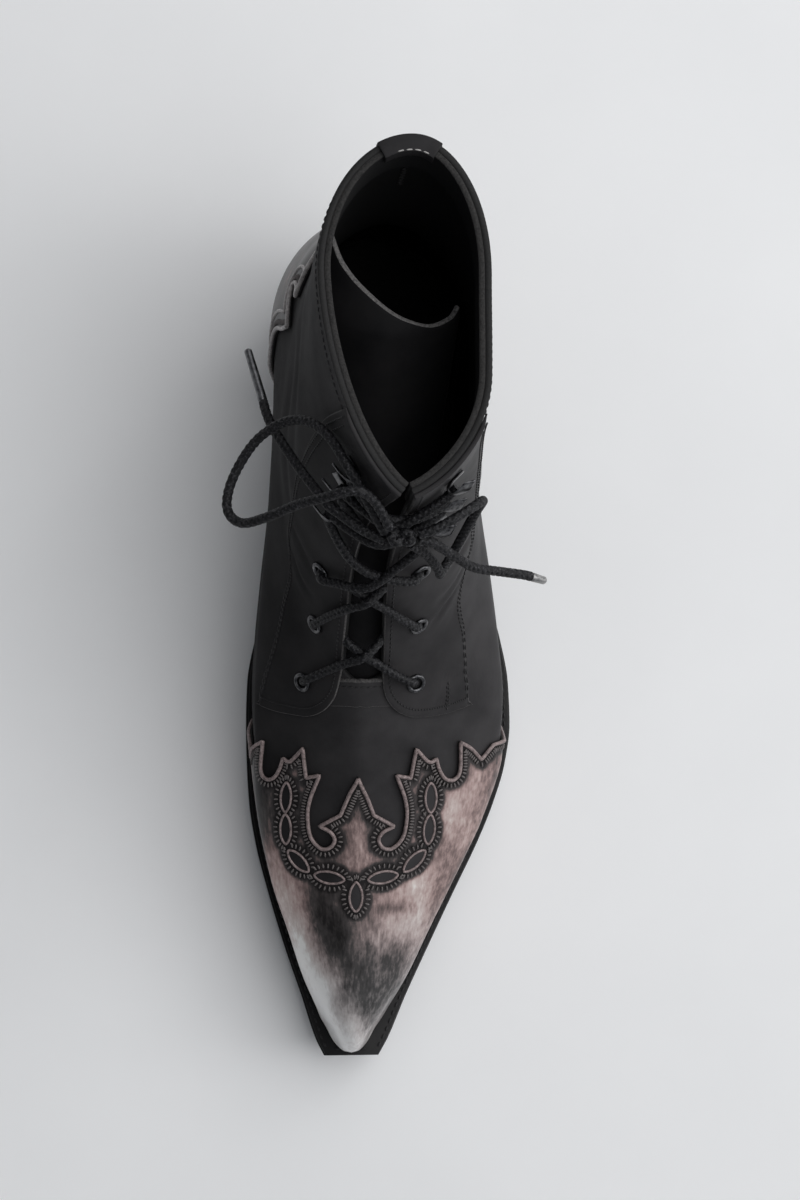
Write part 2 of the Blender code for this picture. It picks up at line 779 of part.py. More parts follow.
def make_tongue(finish):
    """Leather sheet from under the vamp up into the shaft, bent around the instep."""
    centre_z, centre_x, half_width, fall = columns(TONGUE, 1, 2, 3, 4)
    rows, cols = 18, 8
    ys = np.linspace(TONGUE[0][0], TONGUE[-1][0], rows)
    slopes = np.gradient(centre_z(ys), ys)
    outer, inner = [], []
    for y, slope in zip(ys, slopes):
        normal = np.array((0, -slope, 1)) / math.hypot(1, slope)
        for j in range(cols + 1):
            w = 2 * j / cols - 1
            centre = np.array((centre_x(y) + half_width(y) * w, y, centre_z(y)))
            point = centre - normal * fall(y) * w * w
            lean = np.array((2 * fall(y) * w / half_width(y), 0, 0)) + normal
            outer.append(point)
            inner.append(point - lean / np.linalg.norm(lean) * TONGUE_THICK)
    width = cols + 1
    faces = []
    for i in range(rows - 1):
        for j in range(cols):
            low = i * width + j
            faces.append((low, low + 1, low + width + 1, low + width))
    add_mesh("tongue", outer + inner, sheet_faces(faces, rows * width), finish)


def frame_on_skin(level, around, lift):
    """Origin and axes of a small fitting on the leather: away from the slit, upwards, and out."""
    origin = on_skin(level, around, lift)
    out = skin_normal(level, around)
    side = 1 if around > 0 else -1
    away = skin(level, around + side * 0.01) - skin(level, around)
    away = away - out * np.dot(away, out)
    away = away / np.linalg.norm(away)
    return origin, away, np.cross(out, away), out


def make_eyelets(finish):
    """Rolled rings on the facings."""
    segments = 12
    profile = ((EYELET_INNER, 0), (EYELET_OUTER, 0), (EYELET_OUTER - 0.4, EYELET_RISE), (EYELET_INNER, 0.9))
    for side, side_name in ((-1, "medial"), (1, "lateral")):
        for row, y, medial, lateral in EYELETS:
            level, around = across_vamp(y, lateral if side > 0 else medial, side)
            origin, away, up, out = frame_on_skin(level, around, OVERLAY_LIFT + OVERLAY + GAP)
            points = []
            for i in range(segments):
                angle = 2 * math.pi * i / segments
                spoke = away * math.cos(angle) + up * math.sin(angle)
                points += [origin + spoke * radius + out * height for radius, height in profile]
            faces = loft_faces(segments, len(profile))[2:]
            last = (segments - 1) * len(profile)
            for i in range(len(profile)):
                after = (i + 1) % len(profile)
                faces.append((last + i, last + after, after, i))
            add_mesh(f"eyelet_{side_name}_{row}", points, faces, finish)


def make_hooks(finish):
    """Bent metal strips that open away from the slit."""
    for side, side_name in ((-1, "medial"), (1, "lateral")):
        for row, level, distance in HOOKS:
            around = along_ring(level, distance, side)
            origin, away, up, out = frame_on_skin(level, around, OVERLAY_LIFT + OVERLAY + GAP)
            path = np.array(HOOK_PATH)
            run = np.gradient(path, axis=0)
            run = run / np.linalg.norm(run, axis=1, keepdims=True)
            shift = np.stack((run[:, 1], -run[:, 0]), axis=1) * HOOK_THICK / 2
            points = []
            for i, (u, n) in enumerate(path):
                width = HOOK_WIDTH / 2 * (0.45 if i == len(path) - 1 else 1)
                for (du, dn), across in ((shift[i], -1), (shift[i], 1), (-shift[i], 1), (-shift[i], -1)):
                    points.append(origin + away * (u + du) + out * (n + dn) + up * across * width)
            add_mesh(f"hook_{side_name}_{row}", points, loft_faces(len(path), 4), finish)


def tube(name, points, diameter, finish):
    """A round cord through points in millimetres."""
    curve = bpy.data.curves.new(name, "CURVE")
    curve.dimensions = "3D"
    curve.bevel_depth = diameter / 2 * MM
    curve.bevel_resolution = 2
    curve.use_fill_caps = True
    spline = curve.splines.new("POLY")
    spline.points.add(len(points) - 1)
    for target, point in zip(spline.points, points):
        target.co = (*(np.asarray(point, float) * MM), 1)
    curve.materials.append(finish)
    made = bpy.data.objects.new(name, curve)
    bpy.context.scene.collection.objects.link(made)
    return made


def smooth_route(route, step):
    """Evenly spaced points on a smooth curve through a route's own points."""
    route = np.asarray(route, float)
    padded = np.concatenate((2 * route[:1] - route[1:2], route, 2 * route[-1:] - route[-2:-1]))
    dense = []
    for a, b, c, d in zip(padded, padded[1:], padded[2:], padded[3:]):
        for u in np.linspace(0, 1, 16, endpoint=False):
            dense.append(0.5 * (2 * b + (c - a) * u + (2 * a - 5 * b + 4 * c - d) * u**2
                                + (3 * b - a - 3 * c + d) * u**3))
    dense = np.array([*dense, route[-1]])
    lengths = np.concatenate(([0], np.cumsum(np.linalg.norm(np.diff(dense, axis=0), axis=1))))
    wanted = np.linspace(0, lengths[-1], max(3, round(lengths[-1] / step) + 1))
    return np.stack([np.interp(wanted, lengths, dense[:, k]) for k in range(3)], axis=1)


def strand_mesh(name, points, finish):
    """A lace strand as a closed mesh."""
    cord = tube(name, points, LACE_D, finish)
    mesh = bpy.data.meshes.new_from_object(cord)
    bpy.data.objects.remove(cord, do_unlink=True)
    shape = bmesh.new()
    shape.from_mesh(mesh)
    bmesh.ops.remove_doubles(shape, verts=shape.verts, dist=1e-6)
    bmesh.ops.recalc_face_normals(shape, faces=shape.faces)
    shape.to_mesh(mesh)
    shape.free()
    made = bpy.data.objects.new(name, mesh)
    bpy.context.scene.collection.objects.link(made)
    return made


def strand_points(start, end, lifts):
    """Points of a strand that runs straight over the leather between two (level, around) places."""
    shares = np.linspace(0, 1, STRAND_POINTS)
    lift = smooth_curve(lifts)
    places = [(start[0] + (end[0] - start[0]) * u, start[1] + (end[1] - start[1]) * u) for u in shares]
    return [on_skin(level, around, float(lift(u))) for (level, around), u in zip(places, shares)]


def make_crossing(name, pairs, lifts, finish):
    """Two strands that cross in the middle, joined into one solid."""
    strands = [strand_mesh(name, strand_points(start, end, lifts), finish) for start, end in pairs]
    join = strands[0].modifiers.new("join", "BOOLEAN")
    join.operation = "UNION"
    join.object = strands[1]
    strands[1].name = f"{name}_second"
    strands[1].hide_render = True
    strands[1].display_type = "WIRE"
    return strands[0]


def eyelet_place(row, side):
    """Level and distance along the level from the ridge of one eyelet."""
    _, y, medial, lateral = row
    level, around = across_vamp(y, lateral if side > 0 else medial, side)
    steps = np.linspace(0, around, 60)
    points = skin(level, steps)
    return level, float(np.sum(np.linalg.norm(np.diff(points, axis=0), axis=1)))


def make_lacing(finish):
    """Crossings over the throat, from the eyelets up to the hooks."""
    dive = ((0, LACE_LIFT), (0.45, LACE_LIFT + 0.3), (1, DIVE_LIFT))
    level_run = ((0, LACE_LIFT), (0.5, LACE_LIFT - 0.1), (1, LACE_LIFT))
    for i in range(2):
        pairs = []
        for side in (-1, 1):
            level, distance = eyelet_place(EYELETS[i], side)
            far_level = eyelet_place(EYELETS[i + 1], -side)[0] - 0.01
            far_level = max(far_level, THROAT_LEVEL + 0.03)
            start = (level, along_ring(level, distance - EYELET_CLEAR, side))
            end = (far_level, 0.6 * slit_around(far_level, -side))
            pairs.append((start, end))
        make_crossing(f"lace_crossing_{EYELETS[i][0]}", pairs, dive, finish)
    pairs = []
    for side in (-1, 1):
        level, distance = eyelet_place(EYELETS[2], side)
        _, far_level, far_distance = HOOKS[0]
        far_level = far_level - HOOK_STEP
        start = (level, along_ring(level, distance - EYELET_CLEAR, side))
        pairs.append((start, (far_level, along_ring(far_level, far_distance - HOOK_CLEAR, -side))))
    make_crossing("lace_crossing_top", pairs, level_run, finish)
    for lower, upper in zip(HOOKS, HOOKS[1:]):
        pairs = []
        for side in (-1, 1):
            low_level = lower[1] + HOOK_STEP
            high_level = upper[1] - HOOK_STEP
            start = (low_level, along_ring(low_level, lower[2] - HOOK_CLEAR, side))
            pairs.append((start, (high_level, along_ring(high_level, upper[2] - HOOK_CLEAR, -side))))
        make_crossing(f"lace_crossing_hooks_{lower[0]}", pairs, level_run, finish)


def make_bow(finish, tip_finish):
    """Knot, loops and ends of the lace, and the aglets on the ends."""
    shape = bmesh.new()
    bmesh.ops.create_uvsphere(shape, u_segments=12, v_segments=8, radius=1)
    bmesh.ops.scale(shape, vec=Vector(KNOT_HALF) * MM, verts=shape.verts)
    bmesh.ops.translate(shape, vec=Vector(KNOT_CENTRE) * MM, verts=shape.verts)
    mesh = bpy.data.meshes.new("lace_knot")
    shape.to_mesh(mesh)
    shape.free()
    mesh.shade_smooth()
    mesh.materials.append(finish)
    bpy.context.scene.collection.objects.link(bpy.data.objects.new("lace_knot", mesh))
    routes = {
        "lace_loop_medial": LOOP_MEDIAL,
        "lace_loop_lateral": LOOP_LATERAL,
        "lace_end_medial": END_MEDIAL,
        "lace_end_lateral": END_LATERAL,
    }
    for name, route in routes.items():
        tube(name, smooth_route(route, CORD_STEP), LACE_D, finish)
    tube("aglet_medial", AGLET_MEDIAL, AGLET_D, tip_finish)
    tube("aglet_lateral", AGLET_LATERAL, AGLET_D, tip_finish)


for old in list(bpy.data.objects):
    bpy.data.objects.remove(old, do_unlink=True)

BLACK_LEATHER = material("black_leather", (0.018, 0.017, 0.018), 0.42)
WORN_LEATHER = material("worn_leather", (0.30, 0.26, 0.26), 0.38)
SOLE_LEATHER = material("sole_leather", (0.012, 0.012, 0.013), 0.5)
HEEL_LEATHER = material("heel_leather", (0.014, 0.013, 0.013), 0.45)
RUBBER = material("rubber", (0.01, 0.01, 0.01), 0.7)
INSOLE_BOARD = material("insole_board", (0.02, 0.018, 0.017), 0.8)
GUNMETAL = material("gunmetal", (0.12, 0.12, 0.13), 0.3, 1.0)
WAXED_CORD = material("waxed_cord", (0.02, 0.02, 0.022), 0.65)

make_upper(BLACK_LEATHER)
make_sole(SOLE_LEATHER, INSOLE_BOARD)
make_heel(HEEL_LEATHER, RUBBER)
make_tongue(BLACK_LEATHER)
make_toe_cap(WORN_LEATHER)
make_heel_counter(WORN_LEATHER)
make_facing("facing_medial", -1, BLACK_LEATHER)
make_facing("facing_lateral", 1, BLACK_LEATHER)
make_back_tab(BLACK_LEATHER)
make_eyelets(GUNMETAL)
make_hooks(GUNMETAL)
make_lacing(WAXED_CORD)
make_bow(WAXED_CORD, GUNMETAL)
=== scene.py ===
"""Looks of the lace-up western boot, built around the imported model.

Tables and helper functions work in millimetres in the model's frame; meshes are written in metres.
+X is the lateral side, -Y points to the toe, +Z is up.
"""

import math

import bpy
import numpy as np
from mathutils import Matrix, Vector, geometry


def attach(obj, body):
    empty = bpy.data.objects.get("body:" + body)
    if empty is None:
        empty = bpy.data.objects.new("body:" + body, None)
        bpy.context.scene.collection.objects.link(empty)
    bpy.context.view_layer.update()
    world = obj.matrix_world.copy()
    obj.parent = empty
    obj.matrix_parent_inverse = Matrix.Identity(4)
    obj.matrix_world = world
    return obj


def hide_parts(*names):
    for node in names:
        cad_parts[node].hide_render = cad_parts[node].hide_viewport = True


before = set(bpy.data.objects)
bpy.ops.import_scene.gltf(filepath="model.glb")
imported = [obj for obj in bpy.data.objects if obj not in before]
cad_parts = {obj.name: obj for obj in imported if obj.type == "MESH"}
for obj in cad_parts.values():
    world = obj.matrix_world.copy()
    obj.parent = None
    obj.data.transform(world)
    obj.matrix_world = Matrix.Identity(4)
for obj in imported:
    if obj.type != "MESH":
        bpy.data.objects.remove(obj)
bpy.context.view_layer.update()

# Driving dimensions, in millimetres
MM = 0.001
GAP = 0.3
WALL = 2.0
LINING_THICK = 1.9
COLLAR_EDGE_Z = 183.0
THROAT_Y = -13.4
THROAT_HALF = 11.0
BARTACK_ACROSS = 32.5
BARTACK_SPAN = (-23.4, -14.0)
OVERLAY = 1.4
OVERLAY_LIFT = 0.15
OVERLAY_TOP = OVERLAY + OVERLAY_LIFT
TOE_Y = -153.0
HEEL_Y = 147.0
OUTSOLE_THICK = 4.5
WELT_THICK = 3.0
WELT_STEP = 0.8
INSOLE_THICK = 2.5
INSOLE_EASE = 1.7
LIFT_THICK = 6.0
HEEL_BREAST_Y = 80.0
ANKLE_Z = 115.0
COLLAR_Z = 187.0
BULGE_RISE = 16.0
THROAT_LEVEL = 0.5
LACE_D = 3.2
EYELET_OUTER = 3.5
EYELET_INNER = 2.0
AGLET_D = 3.0

# Height of the feather edge, where the upper meets the welt, along the boot
RISE = (
    # y, height
    (-153, 19.5),
    (-125, 13.4),
    (-95, 9.2),
    (-62, 7.5),
    (-22, 7.5),
    (10, 12.5),
    (40, 25.5),
    (70, 39.5),
    (92, 45.0),
    (112, 46.0),
    (150, 46.0),
)

# Plan of the outsole: x of the medial and the lateral edge
SOLE_PLAN = (
    # y, medial, lateral
    (-153, -20.4, -0.3),
    (-147, -23.4, 3.2),
    (-132, -28.4, 10.0),
    (-114, -34.6, 18.8),
    (-92, -41.2, 29.6),
    (-77, -45.0, 37.0),
    (-62, -47.4, 43.2),
    (-47, -48.3, 47.6),
    (-33, -48.6, 49.4),
    (-18, -48.2, 48.8),
    (0, -45.0, 45.2),
    (20, -38.8, 38.5),
    (50, -31.5, 29.5),
    (80, -33.5, 27.2),
    (110, -38.0, 30.0),
    (147, -38.0, 30.0),
)
SOLE_BACK_RADIUS = 37.0

# Upper's side profile: the front ridge and the back seam, from the feather edge (0) to the collar (1)
PROFILE = (
    # level, front_y, front_z, back_y, back_z
    (0.00, -150.4, 19.4, 143.5, 46.3),
    (0.06, -145.5, 32.0, 145.5, 56.0),
    (0.15, -121.0, 40.5, 146.2, 66.0),
    (0.25, -93.0, 47.5, 145.0, 80.0),
    (0.35, -61.0, 57.0, 142.5, 95.0),
    (0.45, -31.0, 69.0, 140.0, 108.0),
    (0.50, -14.8, 77.0, 139.5, 115.0),
    (0.60, 5.0, 97.0, 140.5, 130.0),
    (0.70, 21.5, 120.0, 143.5, 145.0),
    (0.80, 34.0, 143.0, 147.0, 158.0),
    (0.90, 42.0, 165.0, 150.0, 173.0),
    (1.00, 45.5, 186.0, 153.0, 188.0),
)

# Upper's plan at the feather edge, at the bulge above it, and at the ankle
BODY_PLAN = (
    # y, feather medial, feather lateral, bulge medial, bulge lateral, ankle medial, ankle lateral
    (-151, -19.0, -3.6, -19.4, -3.2, -19.4, -3.2),
    (-143, -19.0, -2.9, -19.4, -2.5, -19.4, -2.5),
    (-136, -21.0, 0.2, -21.5, 0.7, -21.2, 0.5),
    (-122, -26.2, 7.2, -27.0, 7.7, -26.5, 7.3),
    (-105, -31.6, 14.6, -32.5, 15.2, -31.5, 14.6),
    (-86, -37.6, 23.4, -38.7, 24.2, -36.5, 23.0),
    (-63, -42.0, 33.4, -43.5, 34.6, -39.5, 32.2),
    (-40, -44.2, 40.2, -46.0, 41.4, -40.0, 36.2),
    (-20, -44.0, 41.6, -46.8, 42.8, -39.5, 35.8),
    (0, -41.5, 39.0, -45.8, 40.8, -38.5, 34.0),
    (20, -37.0, 34.5, -44.0, 38.0, -37.8, 31.5),
    (50, -31.5, 28.5, -41.2, 32.6, -36.5, 28.5),
    (80, -33.0, 26.5, -40.0, 30.0, -35.0, 26.0),
    (110, -36.5, 29.0, -39.5, 29.6, -33.5, 24.6),
    (150, -36.5, 29.0, -39.5, 29.6, -33.0, 24.2),
)
COLLAR_MEDIAL = -30.2
COLLAR_LATERAL = 22.4

# Middle line of the boot, at the front ridge and at the back seam
AXIS = (
    # z, front x, back x
    (20, -10.6, -4.0),
    (115, -10.4, -4.0),
    (142, -8.4, -3.4),
    (170, -4.4, -2.2),
    (187, -2.8, -1.6),
)

# How far the sections take to round off behind the front ridge and before the back seam
ROUNDING = (
    # z, front medial, front lateral, front power, back
    (19, 13, 13, 0.50, 37),
    (30, 34, 36, 0.50, 38),
    (40, 80, 80, 0.52, 39),
    (50, 108, 108, 0.55, 40),
    (60, 116, 116, 0.58, 40),
    (75, 100, 96, 0.60, 40),
    (100, 66, 60, 0.60, 40),
    (130, 52, 46, 0.60, 40),
    (160, 58, 40, 0.66, 40),
    (187, 75, 37, 0.75, 41),
)

# Half width of the slit between the facings
SLIT = (
    # level, half width
    (0.0, 3.0),
    (0.5, 7.8),
    (0.6, 6.9),
    (0.7, 6.2),
    (0.8, 5.6),
    (0.9, 4.0),
    (1.0, 2.2),
)

# Lower edge of a facing: distance across from the ridge, and place along it
FACING_FOOT = (
    # across, y
    (7.9, -15.5),
    (9.2, -19.5),
    (12.4, -23.4),
    (17, -25.6),
    (22, -26),
    (32, -25),
    (44, -22.5),
)
FACING_SIDE = (
    # level, share of the way from front to back on the lateral and on the medial side
    (0.22, 0.300, 0.360),
    (0.32, 0.315, 0.395),
    (0.40, 0.360, 0.410),
    (0.60, 0.360, 0.385),
    (0.80, 0.340, 0.355),
    (1.00, 0.320, 0.330),
)

# Places of the eyelets and of the hooks above them: along the boot, and across it from the ridge
EYELETS = (
    # row, y, medial, lateral
    ("low", -14.0, 22.0, 19.4),
    ("mid", 6.5, 22.5, 20.3),
    ("top", 24.5, 22.5, 18.8),
)
HOOKS = (
    # row, level, distance from the middle line
    ("low", 0.785, 19.5),
    ("mid", 0.86, 19.0),
    ("top", 0.93, 18.5),
)

# Hooks: the bent strip from the side, away from the slit and out from the leather, and its width along it
HOOK_PATH = ((3.6, 0.5), (-2.6, 0.5), (-4.0, 1.6), (-3.6, 3.4), (-1.0, 4.4), (4.2, 5.2))
HOOK_LEAF = ((0, 1.0), (0.25, 1.15), (0.45, 0.72), (0.6, 0.95), (0.78, 1.25), (1, 0.06))
HOOK_HALF = 2.3
HOOK_FLAT = 0.42
HOOK_SIDES = 12
HOOK_TURN = math.radians(25)

# Tongue: middle line, half width, fall of the edges behind the middle, and the top edge from side to side
TONGUE = (
    # y, z, x, half width, fall
    (-25, 68.3, -9.8, 15, 7.2),
    (-13, 74.2, -9.4, 16, 9.8),
    (5, 86.2, -9.0, 17, 11.8),
    (30, 105, -8.6, 19, 11.5),
    (60, 128, -7.2, 20, 10.5),
    (97, 157, -4.8, 21, 10),
)
TONGUE_THICK = 1.9
TONGUE_TOP = ((-1, 123.0), (-0.8, 114.5), (-0.36, 107.0), (0.16, 100.8), (0.7, 97.2), (0.9, 97.6), (1, 99.8))
TONGUE_SLOPE = 0.784
TONGUE_LEAN = 0.35
TONGUE_RIM = ((0.08, 0.28), (0.35, 0.42), (0.65, 0.42), (0.92, 0.28))

# Lacing: sides, spacing and braid of the cord, and how high its middle rides over leather and in hooks
LACE_SIDES = 20
LACE_STEP = 0.42
LACE_WEAVE = 0.15
BRAID_PITCH = 4.4
BRAID_DEPTH = 0.293
LACE_RIDE = 3.9
HOOK_RIDE = 4.2
EYELET_LIFTS = ((0, 0.4), (0.05, 3.2))
STRAND_OVER = ((-1, 1.2), (1, -0.9))
SIDES = ((-1, "medial"), (1, "lateral"))

# Bow: the knot, and the routes of the loops and ends that leave it
KNOT_CENTRE = (-3.6, 33.6, 169.5)
KNOT_HALF = (4.6, 3.2, 4.2)
LOOP_MEDIAL = (
    (-7.2, 36.2, 173.4),
    (-12.0, 43.8, 179.5),
    (-16.9, 47.2, 183.0),
    (-22.8, 46.8, 182.0),
    (-27.0, 45.6, 178.5),
    (-35.1, 43.6, 170.0),
    (-44.3, 40.0, 162.0),
    (-52.1, 38.3, 155.0),
    (-56.4, 42.2, 150.0),
    (-55.8, 49.7, 148.5),
    (-51.7, 58.4, 150.0),
    (-46.3, 65.2, 153.0),
    (-39.1, 69.4, 158.0),
    (-33.4, 69.7, 164.0),
    (-28.6, 67.0, 170.0),
    (-24.6, 62.3, 175.0),
    (-20.5, 54.8, 178.5),
    (-16.7, 48.8, 177.0),
    (-12.3, 41.0, 173.4),
    (-8.6, 35.0, 170.4),
)
END_MEDIAL = (
    (-8.4, 32.6, 167.2),
    (-15.4, 36.0, 166.9),
    (-21.9, 40.6, 166.2),
    (-25.8, 43.6, 165.2),
    (-29.7, 48.8, 162.5),
    (-35.3, 56.7, 155.5),
    (-40.2, 64.8, 149.0),
    (-42.4, 68.7, 146.0),
    (-44.2, 73.3, 143.0),
    (-45.1, 76.8, 141.0),
)
AGLET_MEDIAL = ((-45.2, 77.1, 140.8), (-49.9, 94.2, 131.0))
LOOP_LATERAL = (
    (1.6, 34.4, 171.4),
    (6.7, 36.2, 172.2),
    (13.0, 39.6, 171.8),
    (18.6, 43.0, 169.2),
    (21.9, 45.0, 164.0),
    (22.4, 44.6, 157.8),
    (21.0, 41.4, 150.6),
    (18.8, 36.2, 142.8),
    (16.2, 30.6, 137.4),
    (13.5, 25.9, 136.6),
    (11.0, 22.7, 140.8),
    (10.4, 22.9, 146.8),
    (8.2, 25.6, 152.8),
    (4.4, 29.0, 158.8),
    (-0.4, 31.6, 165.2),
)
END_LATERAL = (
    (1.6, 32.8, 168.2),
    (6.4, 32.0, 166.0),
    (14.3, 27.7, 158.5),
    (20.9, 24.5, 151.5),
    (30.7, 23.2, 143.0),
    (38.0, 22.3, 138.0),
    (40.5, 21.8, 136.3),
)
AGLET_LATERAL = ((40.8, 21.7, 136.1), (45.6, 20.4, 132.8))
TIP_SIDES = 16

# Rows and columns of the upper's mesh
UPPER_ROWS = 104
SIDE_COLUMNS = 96
SLIT_COLUMNS = 6

# Flame edge of the toe cap, one half: across the vamp from the ridge, along it, and whether it is a corner
TOE_FLAME = (
    # across, y, corner
    (0, -47.6, 1),
    (2.5, -53.0, 0),
    (5.6, -61.0, 1),
    (12.9, -65.2, 1),
    (9.0, -67.2, 0),
    (7.4, -70.0, 0),
    (9.0, -72.8, 0),
    (12.4, -73.2, 0),
    (16.2, -69.2, 0),
    (17.5, -62.0, 0),
    (16.7, -55.5, 0),
    (13.4, -46.9, 1),
    (18.6, -48.0, 1),
    (20.4, -37.6, 1),
    (25.4, -42.4, 0),
    (28.4, -41.4, 1),
    (29.6, -45.2, 0),
    (32.0, -48.6, 0),
    (35.4, -49.2, 0),
    (38.0, -46.0, 0),
    (38.2, -35.8, 1),
    (42.6, -38.2, 0),
    (47.2, -42.4, 1),
    (53.0, -37.4, 0),
)
TOE_FLAME_END_Y = -30.5
FLAME_FOOT_LEVEL = 0.012

# Ovals of the chain on the toe cap, one half: place across and along the vamp, and where they point
OVALS = (
    # across, y, angle from across in degrees
    (26.5, -55.4, 91),
    (26.2, -66.9, 87),
    (20.9, -78.2, 42),
    (9.3, -83.7, 8),
)
LAST_OVAL = (0, -90.6, 90)
OVAL_LENGTH = 10.8
OVAL_WIDTH = 4.3
BAND_TIP = (0, -100.5)

# Flame edge of the heel counter, one half: share of the way from the back seam, level, and corners
HEEL_FLAME = (
    # around, level, corner
    (0, 0.60, 1),
    (0.020, 0.562, 0),
    (0.045, 0.545, 0),
    (0.068, 0.553, 0),
    (0.088, 0.58, 1),
    (0.18, 0.54, 0),
    (0.272, 0.49, 1),
    (0.250, 0.445, 0),
    (0.230, 0.405, 0),
    (0.232, 0.382, 0),
    (0.256, 0.394, 0),
    (0.302, 0.435, 1),
    (0.290, 0.36, 0),
    (0.276, 0.29, 0),
    (0.272, 0.22, 0),
    (0.280, 0.13, 0),
)
HEEL_FLAME_END = 0.295

# Creases pressed into the leather: two ends as (level, around), sideways bow, half width and depth
CREASES = (
    # level, around, level, around, bow, half width, depth
    (0.40, 0.235, 0.30, 0.345, 2.0, 1.6, 0.56),
    (0.42, 0.255, 0.33, 0.360, -2.0, 1.8, 0.48),
    (0.385, 0.20, 0.27, 0.335, 3.0, 2.4, 0.40),
    (0.43, -0.235, 0.30, -0.355, -2.0, 1.8, 0.51),
    (0.40, -0.22, 0.27, -0.345, 2.5, 2.2, 0.40),
    (0.52, 0.215, 0.50, 0.315, 1.5, 1.5, 0.61),
    (0.56, 0.230, 0.53, 0.330, -1.5, 1.6, 0.54),
    (0.60, 0.255, 0.575, 0.345, 1.5, 1.8, 0.48),
    (0.55, -0.25, 0.50, -0.36, -2.0, 1.9, 0.51),
    (0.60, -0.24, 0.55, -0.37, 2.0, 2.2, 0.48),
    (0.50, 0.42, 0.53, 0.62, 4.0, 4.0, 0.88),
    (0.58, 0.45, 0.60, 0.68, -3.0, 4.5, 0.80),
    (0.50, -0.42, 0.55, -0.62, -4.0, 4.0, 0.88),
    (0.60, -0.43, 0.62, -0.66, 3.0, 4.5, 0.80),
    (0.44, 0.72, 0.48, 0.93, 3.0, 3.5, 0.64),
    (0.44, -0.72, 0.48, -0.93, -3.0, 3.5, 0.64),
)

# Rubbed places of the toe cap, with a painted highlight on its medial flank: across and along the vamp, half
# widths, and how much lighter the finish gets
WEAR_BASE = 0.48
WEAR_AND_HIGHLIGHT = (
    # across, y, half width across, half width along, change
    (-27, -90, 7, 16, 0.26),
    # The next two rows, on the medial flank, are rubbing and a painted highlight
    (-21, -113, 6, 11, 0.50),
    (-14, -128, 7, 11, 0.66),
    (-6, -143, 9, 9, 0.50),
    (16, -91, 9, 9, 0.15),
    (25, -84, 7, 14, 0.15),
    (14, -105, 9, 6, 0.12),
    (24, -104, 5, 11, 0.16),
    (12, -140, 4, 8, 0.20),
    (37, -62, 8, 11, 0.20),
    (45, -51, 6, 8, 0.10),
    (-11, -95, 6, 10, -0.30),
    (-6, -107, 5, 8, -0.22),
    (3, -119, 9, 10, -0.13),
    (8, -131, 7, 11, -0.10),
    (15, -95, 7, 2, -0.18),
    (17, -122, 4, 10, -0.06),
    (-39, -58, 8, 18, -0.30),
    (0, -73, 9, 8, 0.06),
)

# Stitches that stand beside the piping: their ends' distances from it, and their pitch
TICK_NEAR = 1.1
TICK_FAR = 2.9
TICK_PITCH = 1.0

# Threads: radii, pitch and height on an overlay; a stitch is a row of rings along its length
FINE_THREAD = 0.30
THREAD = 0.33
BOLD_THREAD = 0.36
SEAM_PITCH = 2.3
STITCH_LIFT = OVERLAY_TOP + 0.05
CAPSULE_RINGS = ((-0.86, 0.5), (-0.5, 0.9), (0.0, 1.0), (0.5, 0.9), (0.86, 0.5))
CAPSULE_SIDES = 7
UP = (0.0, 0.0, 1.0)

# Spacing along edges, radii of the piping, points of an oval, and rings and depths of the leather in it
EDGE_STEP = 0.7
PIPING_STEP = 0.55
PIPING_SIDES = 8
TOE_PIPING = 0.70
OVAL_PIPING = 0.44
HEEL_PIPING = 0.75
SECOND_PIPING = 0.65
OVAL_POINTS = 52
INLAY_SHARES = (1.0, 0.75, 0.5, 0.25)
INLAY_DROPS = (0.02, 0.5)

# Spacing of the points in the overlays' meshes
TOE_MESH = 0.95
HEEL_MESH = 0.98
FACING_MESH = 1.15

# Rim of a sheet: share of its thickness, and how far it stands out
ROUND_RIM = ((0.12, 0.22), (0.5, 0.36), (0.88, 0.22))

# Waves in the leather: depth, and the height at which they start and over which they grow
WAVE_DEPTH = 0.10
WAVE_START_Z = 34
WAVE_FADE = 30

# Distances at which flat places are looked up
REACH_STEP = 0.5
REACH = np.arange(0, 110, REACH_STEP)

# Back tab: half widths as shares of the way round, thickness, and its path over the collar
TAB_HALF = 0.10
TAB_STITCHES = 0.085
TAB_THICK = 0.9
TAB_INSIDE = -WALL - LINING_THICK - 0.1
TAB_PATH = (
    # level, lift, raised above the collar
    *[(level, 0.1, 0) for level in (0.86, 0.89, 0.92, 0.95, 0.98)],
    (1.0, 0.1, 0.45),
    (1.0, -1.0, 0.6),
    (1.0, -2.6, 0.6),
    (1.0, TAB_INSIDE, 0.45),
    (0.99, TAB_INSIDE, 0),
    (0.98, TAB_INSIDE, 0),
)

# Zigzag seam inside the back: number of stitches, top level, step down and half width
ZIGZAG_COUNT = 24
ZIGZAG_TOP = 0.96
ZIGZAG_STEP = 0.008
ZIGZAG_HALF = 0.012

# Edges of the sole and the insole, in from the side and up
SOLE_STATIONS = 190
SOLE_EDGE = ((0.55, 0.0), (0.16, 0.05), (0.0, 0.2), (0.0, 0.8), (0.16, 0.95), (0.55, 1.0))
INSOLE_STATIONS = 121
INSOLE_TOP = GAP + INSOLE_THICK
INSOLE_EDGE = ((GAP, 0.5), (GAP + 0.6, 0.0), (INSOLE_TOP - 0.6, 0.0), (INSOLE_TOP, 0.6))

